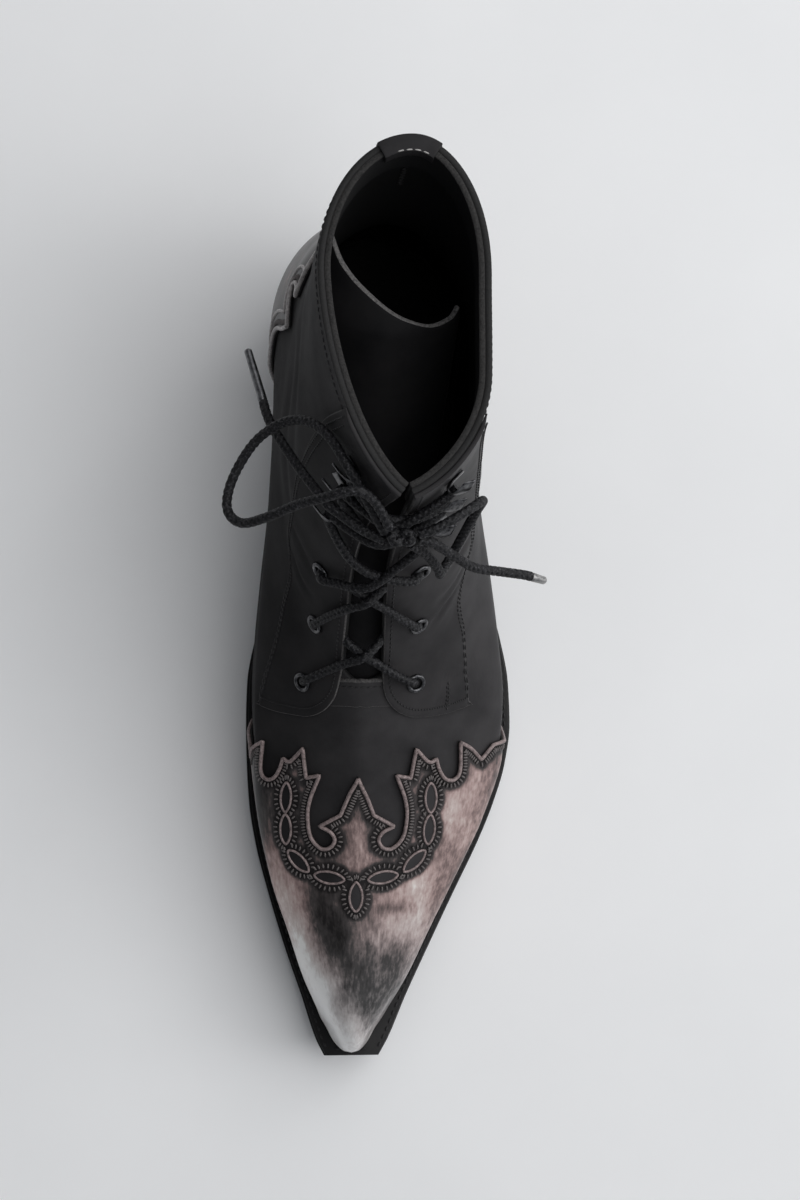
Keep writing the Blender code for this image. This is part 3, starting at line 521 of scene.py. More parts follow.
# Heel: its middle, its layers with the joints between them, its shape over its height, and the lift's edge
HEEL_X = -4.0
HEEL_SIDES = 44
HEEL_LAYERS = 7
HEEL_JOINT = ((0.0, 0.35), (0.12, 0.0), (0.5, -0.05), (0.88, 0.0), (1.0, 0.35))
HEEL_SHAPE = (
    # share of the height, breast, back, scale
    (0.0, HEEL_BREAST_Y + 4.0, 133.5, 0.85),
    (0.4, HEEL_BREAST_Y + 2.6, 137.0, 0.88),
    (0.72, HEEL_BREAST_Y + 1.2, 141.5, 0.93),
    (1.0, HEEL_BREAST_Y, 146.0, 0.98),
)
LIFT_EDGE = ((0.0, 1.0), (0.25, 0.5), (0.8, 0.15), (3.0, 0.0), (LIFT_THICK - 0.4, 0.0), (LIFT_THICK, 0.3))

# Eyelets: segments round the ring, and the dark disc in it
RING_SEGMENTS = 40
HOLE_SEGMENTS = 24
HOLE_RADIUS = 2.1
HOLE_HEIGHTS = (-0.57, 0.03)

# Leather's change across the boot, in metres: painted shade on its colour, and lack of gloss, from medial to
# lateral
SIDE_LIMITS = (-0.034, -0.008)
SIDE_SHADE = (1.15, 2.05)
SIDE_MATT = (0.26, 0.0)

# Colours of the worn leather from rubbed least to rubbed most, and its tint along the toe, in metres
WORN_COLOURS = (
    (0.16, (0.016, 0.014, 0.014)),
    (0.36, (0.066, 0.058, 0.057)),
    (0.50, (0.22, 0.160, 0.152)),
    (0.64, (0.46, 0.345, 0.325)),
    (0.80, (0.65, 0.570, 0.540)),
    (0.95, (0.86, 0.850, 0.820)),
)
SILVER_LIMITS = (-0.128, -0.092)
SILVER_TINT = (0.3, 1.05)

# Stage in metres: the floor, the sky that is dimmer on the medial side, the camera and the lamps
FLOOR_HALF = 9.0
FLOOR_Z = -0.0002
FLOOR_COLOURS = ((0.3, (0.87, 0.872, 0.876)), (0.7, (0.92, 0.922, 0.925)))
SKY_COLOUR = (0.92, 0.95, 1.0, 1)
SKY_LIMITS = (-0.5, 0.7)
SKY_STRENGTH = (0.17, 0.42)
PHOTO_FOCAL = 2557
PHOTO_HEIGHT = 1200
CAMERA_PLACE = (-0.0624, 0.019, 0.95)
CAMERA_TARGET = (0.002, 0.014, 0.09)
LIGHTS = (
    # name, place, target, size, watts
    ("key", (0.95, 0.30, 1.65), (0, 0, 0.05), (2.2, 2.2), 25),
    ("side", (1.4, 0.0, 0.50), (0, 0, 0.08), (0.5, 1.4), 4),
    ("back", (0.5, 1.5, 1.2), (0, 0, 0.1), (1.6, 0.7), 6),
)


def hermite(u, start, end, start_slope, end_slope):
    """Cubic between two values, for shares of the way; slopes are the change over the whole way."""
    rest = 1 - u
    leaving = start * (1 + 2 * u) * rest**2 + start_slope * u * rest**2
    return leaving + end * (1 + 2 * rest) * u**2 - end_slope * rest * u**2


def smooth_curve(points):
    """A smooth curve through (place, value) points that doesn't overshoot between them."""
    places, values = np.array(points, float).T
    steps = np.diff(places)
    slopes = np.diff(values) / steps
    tangents = np.concatenate((slopes[:1], np.zeros(len(slopes) - 1), slopes[-1:]))
    for i in range(1, len(slopes)):
        if slopes[i - 1] * slopes[i] > 0:
            tangents[i] = 2 * slopes[i - 1] * slopes[i] / (slopes[i - 1] + slopes[i])

    def value(at):
        at = np.clip(at, places[0], places[-1])
        i = np.clip(np.searchsorted(places, at, side="right") - 1, 0, len(steps) - 1)
        u = (at - places[i]) / steps[i]
        return hermite(u, values[i], values[i + 1], tangents[i] * steps[i], tangents[i + 1] * steps[i])

    return value


def columns(table, *which):
    """Smooth curves of the named columns of a table over its first column."""
    curves = [smooth_curve([(row[0], row[c]) for row in table]) for c in which]
    return curves if len(curves) > 1 else curves[0]


rise = columns(RISE, 1)
sole_medial, sole_lateral = columns(SOLE_PLAN, 1, 2)
front_y, front_z, back_y, back_z = columns(PROFILE, 1, 2, 3, 4)
body_columns = columns(BODY_PLAN, 1, 2, 3, 4, 5, 6)
axis_front, axis_back = columns(AXIS, 1, 2)
round_medial, round_lateral, round_power, round_back = columns(ROUNDING, 1, 2, 3, 4)
slit_half = columns(SLIT, 1)
facing_lateral_side, facing_medial_side = columns(FACING_SIDE, 1, 2)
ALL_LEVELS = np.linspace(0, 1, 2001)


def ridge_at(z):
    """Place along the boot where the front ridge reaches a height."""
    return np.interp(z, front_z(ALL_LEVELS), front_y(ALL_LEVELS))


def ridge_level(y):
    """Level of the front ridge at a place along the boot."""
    return np.interp(y, front_y(ALL_LEVELS), ALL_LEVELS)


def back_at(z):
    """Place along the boot of the back seam at a height."""
    return np.interp(z, back_z(ALL_LEVELS), back_y(ALL_LEVELS))


def between_heights(y, z, feather, bulge, ankle, collar):
    """Blends four plan values by height, smoothly and without overshoot."""
    floor = rise(y)
    values = np.stack(np.broadcast_arrays(feather, bulge, ankle, collar))
    knots = np.stack(np.broadcast_arrays(floor, floor + BULGE_RISE, ANKLE_Z, COLLAR_Z))
    slopes = np.diff(values, axis=0)
    product = slopes[:-1] * slopes[1:]
    total = slopes[:-1] + slopes[1:]
    inner = np.where(product > 0, 2 * product / np.where(product > 0, total, 1), 0)
    tangents = np.concatenate((slopes[:1], inner, slopes[-1:]))
    result = values[0]
    for i in range(3):
        u = np.clip((z - knots[i]) / (knots[i + 1] - knots[i]), 0, 1)
        piece = hermite(u, values[i], values[i + 1], tangents[i], tangents[i + 1])
        result = np.where(z >= knots[i], piece, result)
    return result


def rounded(distance, power):
    """Grows from 0 at the edge to 1 one radius inside it."""
    return (1 - (1 - np.clip(distance, 0, 1)) ** 2) ** power


def skin(level, around):
    """Points of the upper's outer surface.

    level runs from the feather edge (0) to the collar (1). around runs from the front ridge (0) to the
    back seam, at 1 along the lateral side and at -1 along the medial side.
    """
    level, around = np.broadcast_arrays(np.asarray(level, float), np.asarray(around, float))
    share = (1 - np.cos(np.pi * np.abs(around))) / 2
    fy, fz, by, bz = front_y(level), front_z(level), back_y(level), back_z(level)
    y = fy + (by - fy) * share
    base, front_base, back_base = ((1 - level) * rise(at) + level * COLLAR_Z for at in (y, fy, by))
    z = base + (fz - front_base) * (1 - share) + (bz - back_base) * share
    plan = [curve(y) for curve in body_columns]
    medial = between_heights(y, z, plan[0], plan[2], plan[4], COLLAR_MEDIAL)
    lateral = between_heights(y, z, plan[1], plan[3], plan[5], COLLAR_LATERAL)
    middle = axis_front(z) + (axis_back(z) - axis_front(z)) * share
    ahead = y - ridge_at(z)
    behind = rounded((back_at(z) - y) / round_back(z), 0.5)
    power = round_power(z)
    to_lateral = (lateral - middle) * rounded(ahead / round_lateral(z), power) * behind
    to_medial = (medial - middle) * rounded(ahead / round_medial(z), power) * behind
    x = middle + np.where(around >= 0, to_lateral, to_medial)
    return np.stack((x, y, z), axis=-1)


def wrapped(around):
    """Brings a place past the back seam onto the other side."""
    return (np.asarray(around, float) + 1) % 2 - 1


def normalised(vectors):
    """Unit vectors along the last axis."""
    return vectors / np.maximum(np.linalg.norm(vectors, axis=-1, keepdims=True), 1e-9)


def skin_normal(level, around):
    """Outward unit normals of the upper's surface."""
    small = 0.004
    level = np.asarray(level, float)
    around = np.asarray(around, float)
    up = skin(np.minimum(level + small, 1), around) - skin(np.maximum(level - small, 0), around)
    along = skin(level, wrapped(around + small)) - skin(level, wrapped(around - small))
    return normalised(np.cross(along, up))


def on_skin(level, around, lift):
    """Points at a height above the upper's outer surface."""
    return skin(level, around) + skin_normal(level, around) * lift


def run_lengths(points):
    """Distance of each point of a line from its start."""
    return np.concatenate(([0], np.cumsum(np.linalg.norm(np.diff(points, axis=0), axis=1))))


def along_ring(level, distance, side):
    """Place around the boot at a distance from the ridge, measured along one level."""
    steps = np.linspace(0, 0.7, 141)
    return float(np.interp(distance, run_lengths(skin(level, steps * side)), steps)) * side


def around_at(y, levels):
    """How far round from the ridge, on either side, levels reach a place along the boot."""
    share = (y - front_y(levels)) / (back_y(levels) - front_y(levels))
    return np.arccos(1 - 2 * np.clip(share, 0, 1)) / np.pi


def across_vamp(across, y):
    """Level and place around at a distance from the ridge across one section; medial is negative."""
    levels = np.linspace(float(ridge_level(y)), 0, 121)
    around = around_at(y, levels) * (1 if across > 0 else -1)
    lengths = run_lengths(skin(levels, around))
    return float(np.interp(abs(across), lengths, levels)), float(np.interp(abs(across), lengths, around))


def slit_around(level, side):
    """Place around the boot of the slit's edge, or of its continuation down the vamp."""
    return along_ring(level, float(slit_half(level)), side)


def crease_line(row):
    """Points of one crease on the upper's surface."""
    level0, around0, level1, around1, bow, _, _ = row
    share = np.linspace(0, 1, 15)
    line = skin(level0 + (level1 - level0) * share, around0 + (around1 - around0) * share)
    line[:, 2] += bow * np.sin(np.pi * share)
    return line


CREASE_LINES = [crease_line(row) for row in CREASES]


def relief(points):
    """How far the leather bulges or is creased at points of its surface."""
    flat = points.reshape(-1, 3)
    x, y, z = flat.T
    wave = np.sin(x / 9 + y / 13 + 1.7) * np.sin(z / 8.5 - y / 21) + 0.6 * np.sin(y / 7.5 + z / 11 - x / 15)
    result = WAVE_DEPTH * wave * np.clip((z - WAVE_START_Z) / WAVE_FADE, 0, 1)
    for row, line in zip(CREASES, CREASE_LINES):
        width, depth = row[5:]
        gaps = np.linalg.norm(flat[:, None, :] - line[None, :, :], axis=2)
        nearest = np.argmin(gaps, axis=1)
        fade = np.sin(np.pi * (nearest + 1) / (len(line) + 1)) ** 0.7
        gap = gaps[np.arange(len(flat)), nearest]
        swell = np.exp(-(((gap - 2.4 * width) / (1.3 * width)) ** 2))
        result += depth * fade * (0.45 * swell - np.exp(-((gap / width) ** 2)))
    return result.reshape(points.shape[:-1])


def leather(level, around, lift):
    """Points at a height above the creased leather of the upper."""
    base = skin(level, around)
    height = np.asarray(lift + relief(base))
    return base + skin_normal(level, around) * height[..., None]


def add_piece(name, points, faces, finishes, which=None, nodes=(), slot=None, sharp=40):
    """A named piece from points in millimetres, riding on the boot."""
    mesh = bpy.data.meshes.new(name)
    mesh.from_pydata((np.asarray(points) * MM).tolist(), [], faces)
    for finish in finishes:
        mesh.materials.append(finish)
    if which is not None:
        mesh.polygons.foreach_set("material_index", np.asarray(which, np.int32))
    mesh.shade_smooth()
    mesh.set_sharp_from_angle(angle=math.radians(sharp))
    mesh.update()
    made = bpy.data.objects.new(name, mesh)
    bpy.context.scene.collection.objects.link(made)
    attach(made, "root")
    if nodes:
        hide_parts(*nodes)
    return made


def add_sheet(name, outer, inner, faces, finishes, rim=ROUND_RIM, **more):
    """A closed sheet between two layers of points, with a shaped rim; finishes are outside, inside, rim."""
    outer = np.asarray(outer)
    inner = np.asarray(inner)
    up = normalised(outer - inner)
    first, second, third = np.array([face[:3] for face in faces]).T
    facing = np.cross(outer[second] - outer[first], outer[third] - outer[first])
    if np.sum(facing * up[first]) < 0:
        faces = [tuple(reversed(face)) for face in faces]
    edges = set()
    for face in faces:
        edges.update(zip(face, face[1:] + face[:1]))
    border = np.array(sorted(edge for edge in edges if edge[::-1] not in edges))
    out = np.zeros_like(outer)
    run = outer[border[:, 1]] - outer[border[:, 0]]
    for k in (0, 1):
        np.add.at(out, border[:, k], normalised(np.cross(run, up[border[:, k]])))
    ids = np.unique(border)
    out = normalised(out[ids])
    count = len(outer)
    rows = [outer[ids] + (inner[ids] - outer[ids]) * share + out * reach for share, reach in rim]
    points = np.concatenate((outer, inner, *rows))
    number = {old: new for new, old in enumerate(ids)}
    under = [tuple(i + count for i in reversed(face)) for face in faces]
    strips = []
    for a, b in border:
        steps = [(a, b)]
        for k in range(len(rim)):
            base = 2 * count + k * len(ids)
            steps.append((base + number[a], base + number[b]))
        steps.append((a + count, b + count))
        strips += [(b0, a0, a1, b1) for (a0, b0), (a1, b1) in zip(steps, steps[1:])]
    which = [0] * len(faces) + [1] * len(faces) + [2] * len(strips)
    return add_piece(name, points, [*faces, *under, *strips], finishes, which, **more)


def grid_faces(rows, cols):
    """Quads of a grid of points in row order."""
    starts = [i * cols + j for i in range(rows - 1) for j in range(cols - 1)]
    return [(k, k + 1, k + cols + 1, k + cols) for k in starts]


def loft_faces(count, size, closed=False):
    """Faces that join a row of equal loops, with both ends capped, or joined to each other."""
    last = (count - 1) * size
    faces = [] if closed else [tuple(reversed(range(size))), tuple(range(last, last + size))]
    for row in range(count if closed else count - 1):
        low = row * size
        high = (row + 1) % count * size
        for i in range(size):
            after = (i + 1) % size
            faces.append((low + i, low + after, high + after, high + i))
    return faces


def joined(parts):
    """Points and faces of several (points, faces) parts as one mesh."""
    points, faces, base = [], [], 0
    for some, their_faces in parts:
        points.append(some)
        faces += [tuple(i + base for i in face) for face in their_faces]
        base += len(some)
    return np.concatenate(points), faces


def at_lengths(line, lengths, wanted):
    """Points of a line at distances from its start."""
    return np.stack([np.interp(wanted, lengths, line[:, k]) for k in range(line.shape[1])], axis=1)


def even_line(points, step):
    """Points evenly spaced along a line."""
    points = np.asarray(points, float)
    lengths = run_lengths(points)
    return at_lengths(points, lengths, np.linspace(0, lengths[-1], max(2, round(lengths[-1] / step) + 1)))


def smooth_route(route, step):
    """Evenly spaced points on a smooth curve through a route's own points."""
    route = np.asarray(route, float)
    padded = np.concatenate((2 * route[:1] - route[1:2], route, 2 * route[-1:] - route[-2:-1]))
    dense = []
    for a, b, c, d in zip(padded, padded[1:], padded[2:], padded[3:]):
        for u in np.linspace(0, 1, 16, endpoint=False):
            bend = (2 * a - 5 * b + 4 * c - d) * u**2 + (3 * b - a - 3 * c + d) * u**3
            dense.append(0.5 * (2 * b + (c - a) * u + bend))
    return even_line([*dense, route[-1]], step)


def flame_line(table):
    """A line through a flame's points, smooth between its corners."""
    stretch = [table[0][:2]]
    lines = []
    for row in table[1:]:
        stretch.append(row[:2])
        if row[2] or row is table[-1]:
            lines.append(smooth_route(stretch, EDGE_STEP)[:-1])
            stretch = [row[:2]]
    return np.concatenate((*lines, [table[-1][:2]]))


def gap_to(points, line, closed=False):
    """Distance of flat points from a line."""
    ends = np.roll(line, -1, axis=0) if closed else line[1:]
    best = np.full(len(points), np.inf)
    for a, b in zip(line, ends):
        run = b - a
        share = np.clip((points - a) @ run / max(run @ run, 1e-12), 0, 1)
        best = np.minimum(best, np.sum((points - a - share[:, None] * run) ** 2, axis=1))
    return np.sqrt(best)


def inside(points, outline):
    """Which flat points lie inside an outline."""
    x, y = points.T
    odd = np.zeros(len(points), bool)
    for (x0, y0), (x1, y1) in zip(outline, np.roll(outline, -1, axis=0)):
        crosses = (y0 > y) != (y1 > y)
        odd ^= crosses & (x < x0 + (y - y0) / np.where(y1 == y0, 1, y1 - y0) * (x1 - x0))
    return odd


def patch(outline, rows, step):
    """Triangles over a flat outline, with a grid of points inside it."""
    reach = np.abs(outline[:, 0]).max() + step
    across = np.arange(-reach, reach, step)
    lines = [across + step / 2 * (k % 2) for k in range(len(rows))]
    grid = np.concatenate([np.stack((line, np.full(len(line), v)), axis=1) for line, v in zip(lines, rows)])
    grid = grid[inside(grid, outline)]
    grid = grid[gap_to(grid, outline, True) > step * 0.55]
    flat = [Vector(p) for p in (*outline, *grid)]
    border = list(range(len(outline)))
    edges = [(i, (i + 1) % len(outline)) for i in border]
    points, _, faces, *_ = geometry.delaunay_2d_cdt(flat, edges, [border], 1, 1e-6)
    return np.array([tuple(p) for p in points]), [tuple(face) for face in faces]


def look_up(table, row, column):
    """Values of a table at fractional rows and columns."""
    row = np.clip(row, 0, table.shape[0] - 1.001)
    column = np.clip(column, 0, table.shape[1] - 1.001)
    i = row.astype(int)
    j = column.astype(int)
    u = row - i
    v = column - j
    low = table[i, j] * (1 - v) + table[i, j + 1] * v
    high = table[i + 1, j] * (1 - v) + table[i + 1, j + 1] * v
    return low * (1 - u) + high * u


def resampled(points, *values):
    """Values along rows of points, at even distances from each row's start."""
    lengths = [run_lengths(row) for row in points]
    return [np.array([np.interp(REACH, a, b) for a, b in zip(lengths, value)]) for value in values]


def make_vamp_place():
    """A way from distances across and along the vamp to (level, around)."""
    ys = np.linspace(front_y(0) + 0.1, -20, 420)
    levels = ridge_level(ys)[:, None] * np.linspace(1, 0, 161)
    around = around_at(ys[:, None], levels)
    tables = {side: resampled(skin(levels, around * side), levels, around) for side in (1, -1)}

    def place(flat):
        s, y = np.asarray(flat, float).T
        row = (y - ys[0]) / (ys[1] - ys[0])
        column = np.abs(s) / REACH_STEP
        found = {side: [look_up(t, row, column) for t in tables[side]] for side in (1, -1)}
        level = np.where(s >= 0, found[1][0], found[-1][0])
        return level, np.where(s >= 0, found[1][1], -found[-1][1])

    return place


def make_ring_place(levels, turned):
    """Ways between (level, around) and flat places: along the level from ridge or back seam, and up it."""
    heights = run_lengths(skin(levels, 1.0 if turned else 0.0))
    steps = np.broadcast_to(np.linspace(0, 0.72, 281), (len(levels), 281))

    def from_start(share):
        return 1 - share if turned else share

    tables = {side: resampled(skin(levels[:, None], side * from_start(steps)), steps)[0] for side in (1, -1)}

    def place(flat):
        u, v = np.asarray(flat, float).T
        level = np.interp(v, heights, levels)
        row = np.interp(level, levels, np.arange(len(levels)))
        found = {side: look_up(tables[side], row, np.abs(u) / REACH_STEP) for side in (1, -1)}
        share = np.where(u >= 0, found[1], found[-1])
        return level, np.where(u >= 0, 1, -1) * from_start(share)

    def flat(level, around):
        level = np.asarray(level, float)
        around = np.asarray(around, float)
        side = np.sign(around) + (around == 0)
        walk = from_start(np.abs(around))[:, None] * np.linspace(0, 1, 60)
        points = skin(level[:, None], side[:, None] * from_start(walk))
        length = np.sum(np.linalg.norm(np.diff(points, axis=1), axis=2), axis=1)
        return np.stack((side * length, np.interp(level, levels, heights)), axis=1)

    return place, flat


vamp_place = make_vamp_place()
front_place, front_flat = make_ring_place(np.linspace(0.12, 1, 320), False)
back_place, back_flat = make_ring_place(np.linspace(0.0, 0.66, 210), True)


def put(tree, socket, value):
    """Links an output to an input, or sets the input's own value."""
    if isinstance(value, bpy.types.NodeSocket):
        tree.links.new(value, socket)
    else:
        socket.default_value = value


def node_maker(tree):
    """A way to add a node with its inputs and settings."""
    def node(kind, **values):
        new = tree.nodes.new(kind)
        for key, value in values.items():
            if key in new.inputs:
                put(tree, new.inputs[key], value)
            else:
                setattr(new, key, value)
        return new

    return node


def new_finish(name):
    """A new material, and a way to add nodes to it."""
    made = bpy.data.materials.new(name)
    made.use_nodes = True
    return made, node_maker(made.node_tree)


def dress(made, **inputs):
    """Links or sets the inputs of a material's shader."""
    tree = made.node_tree
    for key, value in inputs.items():
        put(tree, tree.nodes["Principled BSDF"].inputs[key.replace("_", " ")], value)


def math_node(made, operation, *values):
    """Works out a number from others."""
    new = made.node_tree.nodes.new("ShaderNodeMath")
    new.operation = operation
    for socket, value in zip(new.inputs, values):
        put(made.node_tree, socket, value)
    return new.outputs[0]


def ramp(node, source, *stops):
    """A colour ramp with (place, colour) stops."""
    new = node("ShaderNodeValToRGB", Fac=source)
    elements = new.color_ramp.elements
    while len(elements) < len(stops):
        elements.new(1.0)
    for element, (place, colour) in zip(elements, stops):
        element.position = place
        element.color = (*colour, 1)
    return new.outputs["Color"]


def graded(node, source, low, high, limits=(0, 1)):
    """Stretches a value that runs between two limits, to run from low to high."""
    new = node("ShaderNodeMapRange", Value=source)
    for socket, value in zip(("From Min", "From Max", "To Min", "To Max"), (*limits, low, high)):
        new.inputs[socket].default_value = value
    return new.outputs["Result"]


def place_on(node, stretch=(1, 1, 1)):
    """The object's own coordinates, stretched."""
    where = node("ShaderNodeTexCoord").outputs["Object"]
    return node("ShaderNodeMapping", Vector=where, Scale=stretch).outputs["Vector"]


def noise(node, where, scale, detail=4.0, rough=0.55):
    """Fractal noise at a scale in cycles per metre."""
    new = node("ShaderNodeTexNoise", Vector=where, Scale=scale, Detail=detail, Roughness=rough)
    return new.outputs["Fac"]


def bumped(node, height, strength, distance, **under):
    """A bump of a height in metres, on top of another one."""
    new = node("ShaderNodeBump", Height=height, Strength=strength, Distance=distance, **under)
    return new.outputs["Normal"]


def pebbles(node, where, scale, strength, depth):
    """The bump of the leather's grain."""
    cells = node("ShaderNodeTexVoronoi", Vector=where, Scale=scale, feature="DISTANCE_TO_EDGE")
    return bumped(node, cells.outputs["Distance"], strength, depth)


def leather_finish(name, dark, light, rough, grain=1500, grain_depth=0.00005, coat=0.0, specular=0.06):
    """Dyed leather: pebbled grain, cloudy dye and uneven gloss; painted shade darkens it, and it is more
    matt, on the medial side.
    """
    made, node = new_finish(name)
    where = place_on(node)
    side = node("ShaderNodeSeparateXYZ", Vector=where).outputs["X"]
    dye = ramp(node, noise(node, where, 45, 5), (0.32, dark), (0.72, light))
    # Painted shade: the dyed colour is scaled darker towards the medial side
    shade = graded(node, side, *SIDE_SHADE, SIDE_LIMITS)
    dyed_and_shaded = node("ShaderNodeVectorMath", operation="SCALE", Vector=dye, Scale=shade)
    polish = graded(node, noise(node, where, 160, 6, 0.6), rough - 0.07, rough + 0.09)
    matt = math_node(made, "ADD", polish, graded(node, side, *SIDE_MATT, SIDE_LIMITS))
    grained = pebbles(node, where, grain, 0.35, grain_depth)
    folds = bumped(node, noise(node, where, 420, 5, 0.6), 0.30, 0.00018, Normal=grained)
    dress(made, Base_Color=dyed_and_shaded.outputs[0], Roughness=matt, Normal=folds, Specular_IOR_Level=specular,
          Coat_Weight=coat, Coat_Roughness=0.28)
    return made


def worn_finish(name):
    """Brushed-off metallic leather: silver and rose over black, rubbed along the boot, silver at the tip."""
    made, node = new_finish(name)
    where = place_on(node)
    streaks = noise(node, place_on(node, (1.0, 0.28, 1.0)), 190, 7, 0.62)
    layers = (
        # noise, how much it moves the wear
        (streaks, 0.42),
        (noise(node, where, 75, 5, 0.6), 0.24),
        (noise(node, place_on(node, (1.0, 0.6, 1.0)), 420, 5, 0.65), 0.30),
        (noise(node, place_on(node, (1.0, 0.12, 1.0)), 1100, 3, 0.5), 0.3),
    )
    # How far the piece is rubbed; on the toe cap's medial flank it also carries a painted highlight
    wear = node("ShaderNodeAttribute", attribute_name="wear").outputs["Fac"]
    for source, amount in layers:
        wear = math_node(made, "MULTIPLY_ADD", graded(node, source, -0.5, 0.5), amount, wear)
    along = node("ShaderNodeSeparateXYZ", Vector=where).outputs["Y"]
    silver = graded(node, along, *SILVER_TINT, SILVER_LIMITS)
    colour = node("ShaderNodeHueSaturation", Saturation=silver, Color=ramp(node, wear, *WORN_COLOURS))
    grained = pebbles(node, where, 1700, 0.25, 0.00004)
    dress(made, Base_Color=colour.outputs["Color"], Roughness=graded(node, streaks, 0.27, 0.46),
          Normal=bumped(node, wear, 0.25, 0.00012, Normal=grained), Metallic=0.25, Coat_Weight=0.08,
          Specular_IOR_Level=0.25, Coat_Roughness=0.25)
    return made


def fibre_finish(name, dark, light, scale, depth, rough=0.9, span=(0.30, 0.72)):
    """Matt fibres: raw leather edges, suede lining, thread and cord."""
    made, node = new_finish(name)
    fuzz = noise(node, place_on(node), scale, 6, 0.7)
    dress(made, Base_Color=ramp(node, fuzz, (span[0], dark), (span[1], light)), Roughness=rough,
          Normal=bumped(node, fuzz, 0.6, depth), Specular_IOR_Level=0.3)
    return made


def metal_finish(name, dark, light, rough):
    """Plated metal with rubbed spots."""
    made, node = new_finish(name)
    where = place_on(node)
    spots = noise(node, where, 700, 5, 0.6)
    dress(made, Base_Color=ramp(node, spots, (0.35, dark), (0.70, light)), Metallic=1.0,
          Roughness=graded(node, spots, rough - 0.08, rough + 0.12),
          Normal=bumped(node, noise(node, where, 2600, 3), 0.15, 0.00003))
    return made


BLACK = leather_finish("black leather", (0.0130, 0.0125, 0.0131), (0.0260, 0.0249, 0.0256), 0.42)
SMOOTH_BLACK = leather_finish("facing leather", (0.0110, 0.0106, 0.0111), (0.0215, 0.0206, 0.0212), 0.44,
                              1900, specular=0.05)
TONGUE_BLACK = leather_finish("tongue leather", (0.006, 0.006, 0.0065), (0.012, 0.0115, 0.012), 0.55, 1300)
SOLE_BLACK = leather_finish("sole edge", (0.006, 0.006, 0.0062), (0.013, 0.0125, 0.0125), 0.42, 700, 0.00012,
                            0.05)
HEEL_BLACK = leather_finish("heel stack", (0.007, 0.0065, 0.0065), (0.015, 0.0135, 0.013), 0.36, 800, 0.00006,
                            0.12)
WORN = worn_finish("worn metallic leather")
LINING = fibre_finish("lining", (0.004, 0.004, 0.0045), (0.010, 0.0098, 0.0105), 1500, 0.00012, 0.85)
RAW_EDGE = fibre_finish("raw edge", (0.024, 0.023, 0.023), (0.13, 0.124, 0.122), 1500, 0.00024, 0.92)
COLLAR_EDGE = fibre_finish("collar edge", (0.008, 0.008, 0.008), (0.050, 0.048, 0.047), 1500, 0.00026, 0.92)
TONGUE_EDGE = fibre_finish("tongue edge", (0.050, 0.049, 0.049), (0.30, 0.290, 0.285), 1300, 0.00030, 0.95)
FOLDED_EDGE = fibre_finish("edge dye", (0.006, 0.0058, 0.006), (0.020, 0.0195, 0.0195), 1800, 0.00010, 0.7)
INSOLE_SOCK = fibre_finish("sock lining", (0.006, 0.0058, 0.006), (0.013, 0.012, 0.012), 900, 0.00012, 0.8)
RUBBER = fibre_finish("rubber", (0.006, 0.006, 0.006), (0.013, 0.013, 0.013), 1200, 0.00008, 0.72)
BLACK_THREAD = fibre_finish("black thread", (0.008, 0.008, 0.0085), (0.030, 0.029, 0.030), 3800, 0.00008, 0.6)
GREY_THREAD = fibre_finish("grey thread", (0.045, 0.042, 0.042), (0.21, 0.185, 0.180), 3000, 0.00008, 0.5)
PALE_THREAD = fibre_finish("pale thread", (0.25, 0.24, 0.23), (0.62, 0.60, 0.58), 3800, 0.00008, 0.7)
ROSE_CORD = fibre_finish("rose piping", (0.075, 0.058, 0.058), (0.40, 0.315, 0.305), 900, 0.00010, 0.42)
SILVER_CORD = fibre_finish("silver piping", (0.14, 0.130, 0.130), (0.52, 0.490, 0.480), 900, 0.00010, 0.38)
LACE_CORD = fibre_finish("waxed cord", (0.003, 0.003, 0.004), (0.115, 0.113, 0.124), 1400, 0.00020, 0.55,
                         (0.52, 0.80))
GUNMETAL = metal_finish("gunmetal", (0.035, 0.035, 0.038), (0.16, 0.16, 0.165), 0.28)
TIP_METAL = metal_finish("lace tip", (0.10, 0.10, 0.105), (0.24, 0.24, 0.245), 0.36)
TIP_CLEAR = metal_finish("worn lace tip", (0.22, 0.22, 0.22), (0.50, 0.49, 0.48), 0.45)


def make_upper():
    """The hollow wall, with the slit left open above the throat."""
    spread_rows = np.linspace(0, 1, UPPER_ROWS)
    levels = spread_rows - 0.06 * np.sin(2 * np.pi * spread_rows) / (2 * np.pi)
    throat = int(np.argmin(np.abs(levels - THROAT_LEVEL)))
    levels[throat] = THROAT_LEVEL
    ring = 2 * SIDE_COLUMNS
    around = []
    for level in levels:
        halves = []
        for side in (1, -1):
            edge = abs(slit_around(level, side))
            front = np.linspace(0, edge, SLIT_COLUMNS + 1)[:-1]
            rest = np.linspace(edge, 1, SIDE_COLUMNS - SLIT_COLUMNS + 1)
            halves.append(side * np.concatenate((front, rest)))
        around.append(np.concatenate((halves[0], halves[1][-2:0:-1])))
    faces = []
    for row in range(UPPER_ROWS - 1):
        for column in range(ring):
            in_slit = column < SLIT_COLUMNS or column >= ring - SLIT_COLUMNS
            if in_slit and row >= throat:
                continue
            after = (column + 1) % ring
            low = row * ring
            high = low + ring
            faces.append((low + column, low + after, high + after, high + column))
    used = sorted({i for face in faces for i in face})
    renumber = {old: new for new, old in enumerate(used)}
    faces = [tuple(renumber[i] for i in face) for face in faces]
    level = np.repeat(levels, ring)[used]
    around = np.concatenate(around)[used]
    add_sheet("upper_leather", leather(level, around, 0.0), leather(level, around, -WALL), faces,
              (BLACK, LINING, FOLDED_EDGE), nodes=("upper",), slot="black_leather")


def overlay(name, flat, faces, place, finishes, extra, **more):
    """A leather overlay on the upper, from flat points and their way onto the upper's surface."""
    level, around = place(flat)
    outer = leather(level, around, OVERLAY_TOP + extra)
    inner = leather(level, around, OVERLAY_LIFT)
    return add_sheet(name, outer, inner, faces, finishes, **more)


